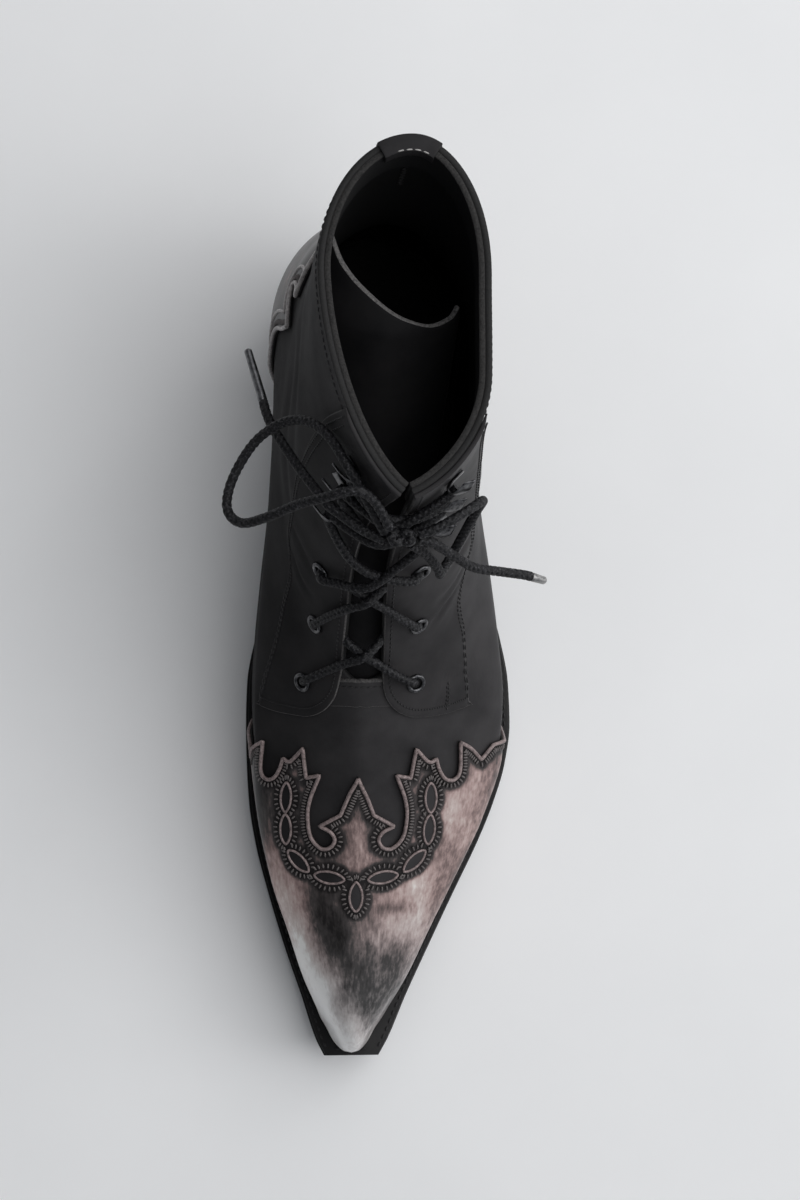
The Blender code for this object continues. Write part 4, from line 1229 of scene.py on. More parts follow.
def worn_overlay(name, node, flat, faces, place, wear, sunk):
    """An overlay in the rubbed finish, which keeps how far it is rubbed at each point of its outside; on the
    toe cap's medial flank that lightness is partly painted highlight.
    """
    made = overlay(name, flat, faces, place, (WORN, LINING, FOLDED_EDGE), -sunk, nodes=(node,),
                   slot="worn_leather")
    values = np.zeros(len(made.data.vertices), np.float32)
    values[: len(flat)] = np.clip(wear, 0, 1)
    made.data.attributes.new("wear", "FLOAT", "POINT").data.foreach_set("value", values)


def shifted(line, distance):
    """A flat line moved sideways, to its left."""
    run = normalised(np.gradient(line, axis=0))
    return line + np.stack((-run[:, 1], run[:, 0]), axis=1) * distance


def add_stitches(name, spans, place, radius, finish):
    """Rows of thread on an overlay: short raised stitches between pairs of flat points."""
    level, around = place(np.reshape(spans, (-1, 2)))
    points = leather(level, around, STITCH_LIFT).reshape(-1, 2, 3)
    normal = skin_normal(level, around).reshape(-1, 2, 3).mean(axis=1)
    add_capsules(name, points, normal, radius, finish)


def add_capsules(name, points, normal, radius, finish):
    """Small rounded threads between pairs of points, all in one piece."""
    centre = points.mean(axis=1)
    normal = np.broadcast_to(normal, centre.shape)
    half = (points[:, 1] - points[:, 0]) / 2
    side = normalised(np.cross(normal, half))
    shape = [(-1.0, 0.0, 0.0)]
    for along, size in CAPSULE_RINGS:
        for k in range(CAPSULE_SIDES):
            angle = 2 * math.pi * k / CAPSULE_SIDES
            shape.append((along, size * math.cos(angle), size * math.sin(angle)))
    shape.append((1.0, 0.0, 0.0))
    shape = np.array(shape)
    last = len(shape) - 1
    template = [tuple(1 + i for i in face) for face in loft_faces(len(CAPSULE_RINGS), CAPSULE_SIDES)[2:]]
    for k in range(CAPSULE_SIDES):
        after = (k + 1) % CAPSULE_SIDES
        template.append((0, 1 + after, 1 + k))
        template.append((last - CAPSULE_SIDES + k, last - CAPSULE_SIDES + after, last))
    ways = np.stack((half, side * radius, normal * radius), axis=1)
    verts = centre[:, None, :] + np.einsum("vk,nkc->nvc", shape, ways)
    faces = [tuple(i + n * len(shape) for i in face) for n in range(len(centre)) for face in template]
    add_piece(name, verts.reshape(-1, 3), faces, (finish,), sharp=80)


def dashes(line, pitch, share=0.72):
    """Pairs of points for stitches that follow a line."""
    line = even_line(line, 0.25)
    lengths = run_lengths(line)
    starts = np.arange(pitch / 2, lengths[-1] - pitch / 2, pitch)
    reach = pitch * share / 2
    return np.stack([at_lengths(line, lengths, starts + step) for step in (-reach, reach)], axis=1)


def tube_points(centres, radius, sides, weave=0.0):
    """Loops of a tube along a line; weave raises the crossed strands of a braid."""
    run = normalised(np.gradient(centres, axis=0))
    side = normalised(np.cross(run[0], (0.31, 0.27, 0.91)))
    angles = 2 * np.pi * np.arange(sides) / sides
    loops = []
    for centre, along, length in zip(centres, run, run_lengths(centres)):
        side = normalised(side - along * np.dot(side, along))
        other = np.cross(along, side)
        turn = 2 * np.pi * length / BRAID_PITCH
        braid = np.maximum(np.abs(np.sin(2 * angles + turn)), np.abs(np.sin(2 * angles - turn)))
        size = (radius * (1 - weave * (1 - braid) / BRAID_DEPTH))[:, None]
        loops.append(centre + np.cos(angles)[:, None] * size * side + np.sin(angles)[:, None] * size * other)
    return np.concatenate(loops)


def add_tube(name, centres, radius, finish, sides=10, weave=0.0, **more):
    """A closed tube along a line of points."""
    points = tube_points(centres, radius, sides, weave)
    return add_piece(name, points, loft_faces(len(centres), sides), (finish,), sharp=70, **more)


def add_piping(name, lines, place, lift, radius, finish, closed=False):
    """Round cords along flat lines on the leather, all in one piece."""
    angles = 2 * np.pi * np.arange(PIPING_SIDES)[:, None] / PIPING_SIDES
    parts = []
    for line in lines:
        level, around = place(line)
        centres = leather(level, around, lift)
        run = np.gradient(centres, axis=0)
        if closed:
            run = np.roll(centres, -1, axis=0) - np.roll(centres, 1, axis=0)
        run = normalised(run)
        side = normalised(np.cross(run, skin_normal(level, around)))
        ring = np.cos(angles) * side[:, None] + np.sin(angles) * np.cross(run, side)[:, None]
        loops = (centres[:, None] + radius * ring).reshape(-1, 3)
        parts.append((loops, loft_faces(len(centres), PIPING_SIDES, closed)))
    add_piece(name, *joined(parts), (finish,), sharp=70)


def inset(line, distance, outline):
    """A flat line moved into an outline, without the parts that come too near its edge again."""
    moves = [shifted(line, distance * way) for way in (1, -1)]
    best = max(moves, key=lambda moved: np.sum(inside(moved, outline)))
    keep = inside(best, outline) & (gap_to(best, outline, True) > 0.86 * distance)
    return best[keep]


def runs(line, longest):
    """Cuts a line where two neighbours are far apart."""
    cuts = np.flatnonzero(np.linalg.norm(np.diff(line, axis=0), axis=1) > longest) + 1
    return [piece for piece in np.split(line, cuts) if len(piece) > 4]


def foot_reach(y, side):
    """Distance across the vamp from the ridge down to the feather edge."""
    levels = ridge_level(y)[:, None] + (FLAME_FOOT_LEVEL - ridge_level(y)[:, None]) * np.linspace(0, 1, 121)
    points = skin(levels, side * around_at(y[:, None], levels))
    return np.sum(np.linalg.norm(np.diff(points, axis=1), axis=2), axis=1)


def flame_halves(flame, feet):
    """The flame edge of both sides down to its feet, and each half of the outline with its foot."""
    edges, halves = {}, {}
    for side, foot in feet.items():
        mine = flame * (side, 1)
        end = even_line([mine[-1], foot[0]], EDGE_STEP)[1:-1]
        edges[side] = np.concatenate((mine, end, foot[:1]))
        halves[side] = np.concatenate((mine, end, foot))
    return np.concatenate((edges[-1][::-1], edges[1][1:])), halves


def tick_row(edge, outline):
    """Short stitches that stand across a piped edge, along its inside."""
    line = even_line(edge, TICK_PITCH)
    spans = np.stack((shifted(line, -TICK_NEAR), shifted(line, -TICK_FAR)), axis=1)
    ends = spans.reshape(-1, 2)
    fits = inside(ends, outline) & (gap_to(ends, edge) > 0.9 * TICK_NEAR)
    return spans[fits.reshape(-1, 2).all(axis=1)]


def oval_line(across, y, angle, grow=0.0):
    """Outline of one pointed oval."""
    turn = math.radians(angle)
    t = 2 * np.pi * np.arange(OVAL_POINTS) / OVAL_POINTS
    along = (OVAL_LENGTH / 2 + grow) * np.cos(t)
    wide = (OVAL_WIDTH / 2 + grow) * np.sin(t) * np.abs(np.sin(t)) ** 0.35
    x = across + along * math.cos(turn) - wide * math.sin(turn)
    return np.stack((x, y + along * math.sin(turn) + wide * math.cos(turn)), axis=1)


def oval_ticks(rows, outlines):
    """Short stitches that stand around the chain of ovals."""
    spans = []
    for n, row in enumerate(rows):
        near = oval_line(*row, TICK_NEAR)
        far = oval_line(*row, TICK_FAR)
        others = [line for m, line in enumerate(outlines) if m != n]
        for k in range(0, OVAL_POINTS, 2):
            ends = np.array((near[k], far[k]))
            gap = min(gap_to(ends, line, True).min() for line in others)
            within = any(inside(ends, line).any() for line in others)
            if gap > TICK_NEAR and not within:
                spans.append(ends)
    return spans


def inlay(outline):
    """Points and faces of the black leather inside one oval."""
    size = len(outline)
    middle = outline.mean(axis=0)
    flat = np.concatenate([middle + (outline - middle) * share for share in INLAY_SHARES] + [[middle]])
    count = len(flat)
    level, around = vamp_place(flat)
    layers = [leather(level, around, OVERLAY_TOP - drop) for drop in INLAY_DROPS]
    last = (len(INLAY_SHARES) - 1) * size
    top = loft_faces(len(INLAY_SHARES), size)[2:]
    top += [(last + k, last + (k + 1) % size, last + size) for k in range(size)]
    under = [tuple(i + count for i in reversed(face)) for face in top]
    rim = [((k + 1) % size, k, count + k, count + (k + 1) % size) for k in range(size)]
    return np.concatenate(layers), [*top, *under, *rim]


def make_toe_cap():
    """Flame-edged wing tip with piping, a chain of ovals and stitched bands."""
    tip_y = float(front_y(FLAME_FOOT_LEVEL)) + 0.15
    foot_y = np.concatenate((np.arange(TOE_FLAME_END_Y, -136, -1.2), np.linspace(-136, tip_y, 46)))
    feet = {side: np.stack((side * foot_reach(foot_y, side), foot_y), axis=1) for side in (1, -1)}
    edge, halves = flame_halves(flame_line(TOE_FLAME), feet)
    outline = np.concatenate((halves[1][:-1], [[0, tip_y]], halves[-1][-2:0:-1]))
    rows = np.concatenate((np.arange(-31, -138, -0.84), np.arange(-138, tip_y, -0.36)))
    flat, faces = patch(outline, rows, TOE_MESH)
    from_edge = gap_to(flat, edge)
    chain = [*OVALS, *[(-across, y, 180 - angle) for across, y, angle in OVALS], LAST_OVAL]
    ovals = [oval_line(*row) for row in chain]
    from_ovals = np.min([gap_to(flat, line, True) for line in ovals], axis=0)
    for line in ovals:
        from_ovals[inside(flat, line)] = 0
    wear = np.full(len(flat), WEAR_BASE)
    # Rubbed places lighten the finish; on the medial flank they also paint a highlight
    for across, y, wide, long, change in WEAR_AND_HIGHLIGHT:
        wear += change * np.exp(-(((flat[:, 0] - across) / wide) ** 2) - ((flat[:, 1] - y) / long) ** 2)
    foot_gap = gap_to(flat, np.concatenate((feet[1], feet[-1][::-1])))
    wear += 0.16 * np.exp(-((foot_gap / 4) ** 2))
    band = np.maximum(np.exp(-((from_edge / 3.9) ** 6)), np.exp(-((from_ovals / 3.6) ** 8)))
    sunk = 0.25 * np.exp(-((from_ovals / 5.5) ** 6)) + 0.2 * np.exp(-((from_edge / 5.5) ** 6))
    worn_overlay("toe_cap_leather", "toe_cap", flat, faces, vamp_place, wear * (1 - 0.70 * band), sunk)
    line = even_line(edge, PIPING_STEP)
    add_piping("toe_cap_piping", [line], vamp_place, STITCH_LIFT, TOE_PIPING, ROSE_CORD)
    add_piping("toe_cap_ovals", ovals, vamp_place, OVERLAY_TOP, OVAL_PIPING, ROSE_CORD, True)
    add_piece("toe_cap_inlays", *joined([inlay(line) for line in ovals]), (BLACK,))
    spans = tick_row(edge, outline)
    ends = spans.reshape(-1, 2)
    fits = np.min([gap_to(ends, line, True) for line in ovals], axis=0) > TICK_NEAR
    near_band = spans[fits.reshape(-1, 2).all(axis=1)]
    add_stitches("toe_cap_edge_stitches", near_band, vamp_place, BOLD_THREAD, GREY_THREAD)
    ticks = [span for span in oval_ticks(chain, ovals) if gap_to(span, edge).min() > TICK_NEAR]
    add_stitches("toe_cap_chain_stitches", ticks, vamp_place, BOLD_THREAD, GREY_THREAD)
    tip = np.array([LAST_OVAL[:2], BAND_TIP]) + np.array(((0, -OVAL_LENGTH / 2 - 1.5), (0, 0)))
    add_stitches("toe_cap_tip_stitches", dashes(tip, 1.7), vamp_place, 0.34, GREY_THREAD)


def make_heel_counter():
    """Flame-edged counter that matches the toe cap."""
    table = [(*back_flat(np.array([level]), np.array([1 - around]))[0], corner)
             for around, level, corner in HEEL_FLAME]
    foot_level = np.full(90, FLAME_FOOT_LEVEL)
    foot_around = 1 - np.linspace(HEEL_FLAME_END, 0, 90)
    feet = {side: back_flat(foot_level, side * foot_around) for side in (1, -1)}
    edge, halves = flame_halves(flame_line(table), feet)
    outline = np.concatenate((halves[1], halves[-1][-2:0:-1]))
    rows = np.arange(outline[:, 1].min(), outline[:, 1].max(), 0.84)
    flat, faces = patch(outline, rows, HEEL_MESH)
    from_edge = gap_to(flat, edge)
    cloud = np.sin(flat[:, 0] / 7 + 0.6) * np.cos(flat[:, 1] / 6)
    wear = 0.24 + 0.12 * cloud + 0.38 * np.exp(-((flat[:, 1] / 14) ** 2))
    wear = wear * (1 - 0.75 * np.exp(-((from_edge / 6.0) ** 4)))
    sunk = 0.2 * np.exp(-((from_edge / 5.5) ** 6))
    worn_overlay("heel_counter_leather", "heel_counter", flat, faces, back_place, wear, sunk)
    line = even_line(edge, PIPING_STEP)
    add_piping("heel_counter_piping", [line], back_place, STITCH_LIFT, HEEL_PIPING, SILVER_CORD)
    second = runs(inset(even_line(edge, 0.4), 5.6, outline), 2.0)
    low = OVERLAY_TOP - 0.1
    add_piping("heel_counter_second_piping", second, back_place, low, SECOND_PIPING, SILVER_CORD)
    add_stitches("heel_counter_stitches", tick_row(edge, outline), back_place, BOLD_THREAD, GREY_THREAD)


def facing_outline(side):
    """Flat outline of a facing, its sewn edge down the slit and round the foot, and its seam."""
    foot = np.array([across_vamp(side * across, y) for across, y in FACING_FOOT])
    foot_flat = smooth_route(front_flat(foot[:, 0], foot[:, 1]), 0.8)
    seam_share = facing_lateral_side if side > 0 else facing_medial_side
    seam_levels = np.linspace(foot[-1, 0] + 0.008, 1, 130)
    seam = front_flat(seam_levels, side * seam_share(seam_levels))
    edge_levels = np.linspace(1, THROAT_LEVEL + 0.006, 120)
    edge = front_flat(edge_levels, np.array([slit_around(level, side) for level in edge_levels]))
    collar = even_line([seam[-1], edge[0]], 0.8)[1:-1]
    return np.concatenate((foot_flat, seam, collar, edge)), np.concatenate((edge, foot_flat)), seam


def make_facing(name, side):
    """Derby quarter front with its rows of stitches."""
    outline, sewn, seam = facing_outline(side)
    rows = np.arange(outline[:, 1].min(), outline[:, 1].max(), 1.0)
    flat, faces = patch(outline, rows, FACING_MESH)
    skived = -0.8 * np.exp(-((gap_to(flat, seam) / 2.6) ** 2))
    made = overlay(f"{name}_leather", flat, faces, front_place, (SMOOTH_BLACK, LINING, RAW_EDGE), skived,
                   nodes=(name,), slot="black_leather")
    for face in made.data.polygons:
        if face.center.z > COLLAR_EDGE_Z * MM:
            face.material_index = 0

    def rows_of_stitches(line, *distances):
        lines = [inset(even_line(line, 0.5), distance, outline) for distance in distances]
        return np.concatenate([dashes(piece, SEAM_PITCH) for moved in lines for piece in runs(moved, 3.0)])

    spans = rows_of_stitches(sewn, 2.1)
    add_stitches(f"{name}_edge_stitches", spans, front_place, THREAD, BLACK_THREAD)
    spans = rows_of_stitches(seam, 1.8, 4.2)
    add_stitches(f"{name}_seam_stitches", spans, front_place, FINE_THREAD, BLACK_THREAD)
    if side > 0:
        places = np.array([across_vamp(BARTACK_ACROSS, y) for y in np.linspace(*BARTACK_SPAN, 24)])
        line = front_flat(places[:, 0], places[:, 1])
        spans = np.concatenate([dashes(line + (step, 0), 1.5) for step in (-0.7, 0.7)])
        add_stitches(f"{name}_bartack", spans, front_place, BOLD_THREAD, BLACK_THREAD)


def make_collar_lining():
    """Inner layer of the collar, with its raw edge showing beside the outer leather."""
    levels = np.linspace(0.90, 1.0, 9)
    cols = 260
    around = []
    for level in levels:
        start, end = (abs(slit_around(level, side)) + 0.004 for side in (1, -1))
        around.append(np.linspace(start, 2 - end, cols))
    around = wrapped(np.concatenate(around))
    level = np.repeat(levels, cols)
    outer = leather(level, around, -WALL - 0.05)
    inner = leather(level, around, -WALL - LINING_THICK)
    add_sheet("collar_lining", outer, inner, grid_faces(len(levels), cols), (LINING, LINING, COLLAR_EDGE))


def make_back_tab():
    """Leather tab folded over the collar at the back, with its pale row of stitches."""
    cols = 40
    around = wrapped(1 + TAB_HALF * np.linspace(-1, 1, cols))
    near, far = [], []
    for level, lift, raised in TAB_PATH:
        over = np.clip((raised - 0.4) / 0.2, 0, 1)
        side = TAB_THICK * (1 if lift > -WALL else -1) * (1 - over)
        above = TAB_THICK * (0.35 + 0.65 * over) * (raised > 0)
        near.append(leather(np.full(cols, level), around, lift) + (0, 0, raised))
        far.append(leather(np.full(cols, level), around, lift + side) + (0, 0, raised + above))
    add_sheet("back_tab_leather", np.concatenate(far), np.concatenate(near), grid_faces(len(TAB_PATH), cols),
              (SMOOTH_BLACK, LINING, FOLDED_EDGE), nodes=("back_tab",), slot="black_leather")
    around = wrapped(1 + TAB_STITCHES * np.linspace(-1, 1, 60))
    line = leather(np.full(60, 1.0), around, TAB_INSIDE - 0.25) + (0, 0, 0.95)
    add_capsules("back_tab_stitches", dashes(line, 2.6, 0.8), UP, 0.24, PALE_THREAD)
    levels = np.linspace(0.868, 0.995, 40)
    spans = []
    for share in (-TAB_STITCHES, TAB_STITCHES):
        spans.append(dashes(leather(levels, np.full(40, wrapped(1 + share)), 0.1 + TAB_THICK), 2.2))
    spans = np.concatenate(spans)
    add_capsules("back_tab_side_stitches", spans, (0.0, 1.0, 0.0), FINE_THREAD, BLACK_THREAD)


def make_seams():
    """Stitch rows along the collar, and the zigzag seam inside the back."""
    for name, side, seam_share in (("lateral", 1, facing_lateral_side), ("medial", -1, facing_medial_side)):
        around = side * np.linspace(float(seam_share(0.98)), 0.88, 400)
        spans = dashes(leather(np.full(400, 0.978), around, 0.05), SEAM_PITCH)
        add_capsules(f"collar_stitches_{name}", spans, (float(side), 0.0, 0.0), FINE_THREAD, BLACK_THREAD)
    zigzag = []
    for k in range(ZIGZAG_COUNT):
        top = ZIGZAG_TOP - ZIGZAG_STEP * k
        way = ZIGZAG_HALF if k % 2 else -ZIGZAG_HALF
        levels = np.array([top, top - ZIGZAG_STEP])
        zigzag.append(leather(levels, wrapped(np.array([1 - way, 1 + way])), -WALL - 0.25))
    add_capsules("back_zigzag", np.array(zigzag), (0.0, -1.0, 0.0), 0.32, BLACK_THREAD)


def make_throat():
    """Straight top edge of the vamp between the facings, with its bead and stitches."""
    rows, cols = 12, 25
    across = np.linspace(-THROAT_HALF, THROAT_HALF, cols)
    ys = np.linspace(THROAT_Y - 9, THROAT_Y, rows)
    level, around = np.array([across_vamp(a, y) for y in ys for a in across]).T
    outer = leather(level, around, 0.4)
    inner = leather(level, around, -0.5)
    add_sheet("throat_edge", outer, inner, grid_faces(rows, cols), (BLACK, LINING, RAW_EDGE))
    bead = outer[-cols:] - skin_normal(level[-cols:], around[-cols:]) * 0.2
    add_tube("throat_bead", even_line(bead, 0.5), 0.75, RAW_EDGE)
    level, around = np.array([across_vamp(a, THROAT_Y - 2.2) for a in across]).T
    spans = dashes(leather(level, around, 0.45), 2.2)
    add_capsules("throat_stitches", spans, (0.0, -0.45, 0.89), FINE_THREAD, BLACK_THREAD)


def make_tongue():
    """Leather sheet behind the lacing, with a raw top edge that leans back into the shaft."""
    centre_z, centre_x, half_width, fall = columns(TONGUE, 1, 2, 3, 4)
    top = smooth_curve(TONGUE_TOP)
    rows, cols = 84, 44
    start, end = TONGUE[0][0], TONGUE[-1][0]
    outer, inner = [], []
    for share in np.linspace(0, 1, rows):
        for w in np.linspace(-1, 1, cols):
            y = start + (float(top(w)) - start) * share
            slope = centre_z(y + 0.5) - centre_z(y - 0.5) if start + 0.5 < y < end - 1 else TONGUE_SLOPE
            z = centre_z(min(y, end)) + max(0.0, y - end) * TONGUE_LEAN
            normal = np.array((0, -slope, 1)) / math.hypot(1, slope)
            sag = 0.25 * math.sin(y / 9) * math.sin(w * 3 + 0.5)
            point = np.array((centre_x(y) + half_width(y) * w, y, z)) - normal * (fall(y) * w * w + sag)
            lean = np.array((2 * fall(y) * w / half_width(y), 0, 0)) + normal
            outer.append(point)
            inner.append(point - lean / np.linalg.norm(lean) * TONGUE_THICK)
    add_sheet("tongue_leather", outer, inner, grid_faces(rows, cols), (TONGUE_BLACK, LINING, TONGUE_EDGE),
              TONGUE_RIM, nodes=("tongue",), slot="black_leather")


def sole_layer(name, step, bottom, top):
    """A layer of the sole: its plan is a step inside the outsole's, its heights from the feather edge."""
    start, end = TOE_Y + step, HEEL_Y - step
    points = []
    for i in range(SOLE_STATIONS):
        y = start + (end - start) * (1 - math.cos(math.pi * (i + 0.04) / (SOLE_STATIONS - 0.92))) / 2
        y = start if i == 0 else y
        medial, lateral = sole_medial(y) + step, sole_lateral(y) - step
        middle = (medial + lateral) / 2
        share = float(rounded((end - y) / SOLE_BACK_RADIUS, 0.5))
        left = middle + (medial - middle) * share
        right = middle + (lateral - middle) * share
        heights = [rise(y) + bottom + (top - bottom) * up for _, up in SOLE_EDGE]
        points += [(right - cut, y, z) for (cut, _), z in zip(SOLE_EDGE, heights)]
        points += [(left + cut, y, z) for (cut, _), z in zip(SOLE_EDGE[::-1], heights[::-1])]
    faces = loft_faces(SOLE_STATIONS, 2 * len(SOLE_EDGE))
    add_piece(f"{name}_leather", points, faces, (SOLE_BLACK,), nodes=(name,), slot="sole_leather", sharp=50)


def make_sole():
    """Outsole and welt with its stitches, and the insole."""
    sole_layer("outsole", 0.0, -OUTSOLE_THICK - WELT_THICK, -WELT_THICK - 0.1)
    sole_layer("welt", WELT_STEP, -WELT_THICK, 0.05)
    ys = np.linspace(TOE_Y + 3, 60, 500)
    in_from_edge = WELT_STEP + 1.7
    rows = [(sole_medial(ys) + in_from_edge, ys), (sole_lateral(ys) - in_from_edge, ys)]
    ends = (sole_medial(TOE_Y) + 3.4, sole_lateral(TOE_Y) - 3.4)
    rows.append((np.linspace(*ends, 40), np.full(40, TOE_Y + 2.8)))
    spans = [dashes(np.stack((x, y, rise(y) + 0.1), axis=1), 3.1, 0.66) for x, y in rows]
    add_capsules("welt_stitches", np.concatenate(spans), UP, 0.45, BLACK_THREAD)
    points = []
    for share in np.linspace(0, 1, INSOLE_STATIONS):
        around = 0.03 + 0.945 * share
        left, right = (on_skin(0.0, around * side, -WALL - INSOLE_EASE) for side in (-1, 1))
        points += [(right[0] - cut, right[1], rise(right[1]) + height) for height, cut in INSOLE_EDGE]
        points += [(left[0] + cut, left[1], rise(left[1]) + height) for height, cut in INSOLE_EDGE[::-1]]
    add_piece("insole_sock", points, loft_faces(INSOLE_STATIONS, 2 * len(INSOLE_EDGE)), (INSOLE_SOCK,),
              nodes=("insole",), slot="insole_board")


def heel_loop(front, back, scale):
    """Plan of one layer of the heel: a straight breast, and a round back."""
    half = []
    for i in range(HEEL_SIDES + 1):
        y = front + (back - front) * math.sin(math.pi / 2 * i / HEEL_SIDES)
        share = float(rounded((back - y) / (SOLE_BACK_RADIUS * scale), 0.5))
        half.append((y, max(share, 0.04) * scale))
    loop = [(HEEL_X + (float(sole_lateral(y)) - HEEL_X) * share, y) for y, share in half]
    loop += [(HEEL_X + (float(sole_medial(y)) - HEEL_X) * share, y) for y, share in half[::-1]]
    return np.array(loop)


def make_heel():
    """Stacked heel with the joints of its layers, and the rubber lift."""
    drop = OUTSOLE_THICK + WELT_THICK + 0.1
    low = LIFT_THICK + 0.05
    breast, back, scale = columns(HEEL_SHAPE, 1, 2, 3)
    rows = [((layer + step) / HEEL_LAYERS, cut) for layer in range(HEEL_LAYERS) for step, cut in HEEL_JOINT]
    points = []
    for share, cut in rows:
        loop = heel_loop(breast(share) + cut, back(share) - cut, scale(share) * (1 - 0.006 * cut))
        points += [(x, y, low + (rise(y) - drop - low) * share) for x, y in loop]
    size = len(loop)
    faces = loft_faces(len(rows), size)[2:]
    for base, turn in ((0, 1), ((len(rows) - 1) * size, -1)):
        for i in range(size // 2 - 1):
            faces.append((base + i, base + i + 1, base + size - 2 - i, base + size - 1 - i)[::-turn])
    add_piece("heel_stack_leather", points, faces, (HEEL_BLACK,), nodes=("heel_stack",),
              slot="heel_leather", sharp=50)
    _, lift_breast, lift_back, lift_scale = HEEL_SHAPE[0]
    points = []
    for z, cut in LIFT_EDGE:
        loop = heel_loop(lift_breast + cut * 0.4, lift_back - cut * 0.6, lift_scale - 0.01 * cut)
        points += [(x, y, z) for x, y in loop]
    add_piece("heel_lift_rubber", points, loft_faces(len(LIFT_EDGE), size), (RUBBER,), nodes=("heel_lift",),
              slot="rubber", sharp=50)


def frame_on_skin(level, around):
    """Origin and axes of a small fitting on a facing: away from the slit, upwards, and out."""
    origin = leather(level, around, OVERLAY_TOP)
    out = skin_normal(level, around)
    side = 1 if around > 0 else -1
    away = skin(level, around + side * 0.01) - skin(level, around)
    away = normalised(away - out * np.dot(away, out))
    return origin, away, np.cross(out, away), out


def eyelet_spot(row, side):
    """Level and place around of one eyelet."""
    _, y, medial, lateral = row
    return across_vamp(lateral if side > 0 else -medial, y)


def spokes(away, up, count):
    """Unit vectors round a circle."""
    return [away * math.cos(a) + up * math.sin(a) for a in 2 * np.pi * np.arange(count) / count]


def make_eyelets():
    """Rolled rings on the facings, with the dark hole inside them."""
    rolled = [(2.75 + 0.75 * math.cos(a), 0.45 + 0.75 * math.sin(a)) for a in np.linspace(-0.6, math.pi, 11)]
    profile = [*rolled, (EYELET_INNER, 0.0), (EYELET_INNER + 0.05, -0.8), (EYELET_OUTER - 0.4, -0.8)]
    for side, side_name in SIDES:
        for row in EYELETS:
            origin, away, up, out = frame_on_skin(*eyelet_spot(row, side))
            points = [origin + spoke * radius + out * height
                      for spoke in spokes(away, up, RING_SEGMENTS) for radius, height in profile]
            faces = loft_faces(RING_SEGMENTS, len(profile), True)
            add_piece(f"ring_{side_name}_{row[0]}", points, faces, (GUNMETAL,), sharp=60,
                      nodes=(f"eyelet_{side_name}_{row[0]}",), slot="gunmetal")
            points = [origin + out * height + spoke * HOLE_RADIUS
                      for height in HOLE_HEIGHTS for spoke in spokes(away, up, HOLE_SEGMENTS)]
            add_piece(f"hole_{side_name}_{row[0]}", points, loft_faces(2, HOLE_SEGMENTS), (LINING,))


def make_hooks():
    """Leaf-shaped lacing hooks, bent back over the lace."""
    widths = smooth_curve(HOOK_LEAF)
    ring = np.linspace(0, 2 * np.pi, HOOK_SIDES, endpoint=False)
    path = smooth_route(HOOK_PATH, 0.4)
    run = normalised(np.gradient(path, axis=0))
    for side, side_name in SIDES:
        for row, level, distance in HOOKS:
            origin, away, up, out = frame_on_skin(level, along_ring(level, distance, side))
            points = []
            for (u, n), (du, dn), share in zip(path, run, np.linspace(0, 1, len(path))):
                turn = HOOK_TURN * min(1.0, max(0.0, (share - 0.5) / 0.3))
                wide = up * math.cos(turn) - out * math.sin(turn)
                flat = np.cross(away * du + out * dn, wide)
                centre = origin + away * u + out * n
                half = HOOK_HALF * float(widths(share))
                points += [centre + wide * half * math.cos(a) + flat * HOOK_FLAT * math.sin(a) for a in ring]
            faces = loft_faces(len(path), HOOK_SIDES)
            add_piece(f"lacing_hook_{side_name}_{row}", points, faces, (GUNMETAL,), sharp=60,
                      nodes=(f"hook_{side_name}_{row}",), slot="gunmetal")


def instep_strand(start, end, lifts):
    """Points of a lace strand that runs straight over the instep between two (across, y) places."""
    lift = smooth_curve(lifts)
    points = []
    for share in np.linspace(0, 1, 40):
        across, y = (1 - share) * np.array(start) + share * np.array(end)
        points.append(on_skin(*across_vamp(across, y), float(lift(share))))
    return even_line(points, LACE_STEP)


def strand(start, end, lifts):
    """Points of a lace strand over the leather between two (level, distance from the ridge) places."""
    low, high = front_flat(np.array([start[0], end[0]]), np.zeros(2))[:, 1]
    share = np.linspace(0, 1, 60)
    flat = np.stack((start[1] + (end[1] - start[1]) * share, low + (high - low) * share), axis=1)
    level, around = front_place(flat)
    return even_line(on_skin(level, around, smooth_curve(lifts)(share)[:, None]), LACE_STEP)


def add_crossing(name, strands):
    """Two strands of the braided lace that cross, in one piece."""
    parts = [(tube_points(centres, LACE_D / 2, LACE_SIDES, LACE_WEAVE), loft_faces(len(centres), LACE_SIDES))
             for centres in strands]
    add_piece(f"{name}_braid", *joined(parts), (LACE_CORD,), nodes=(name,), slot="waxed_cord", sharp=75)


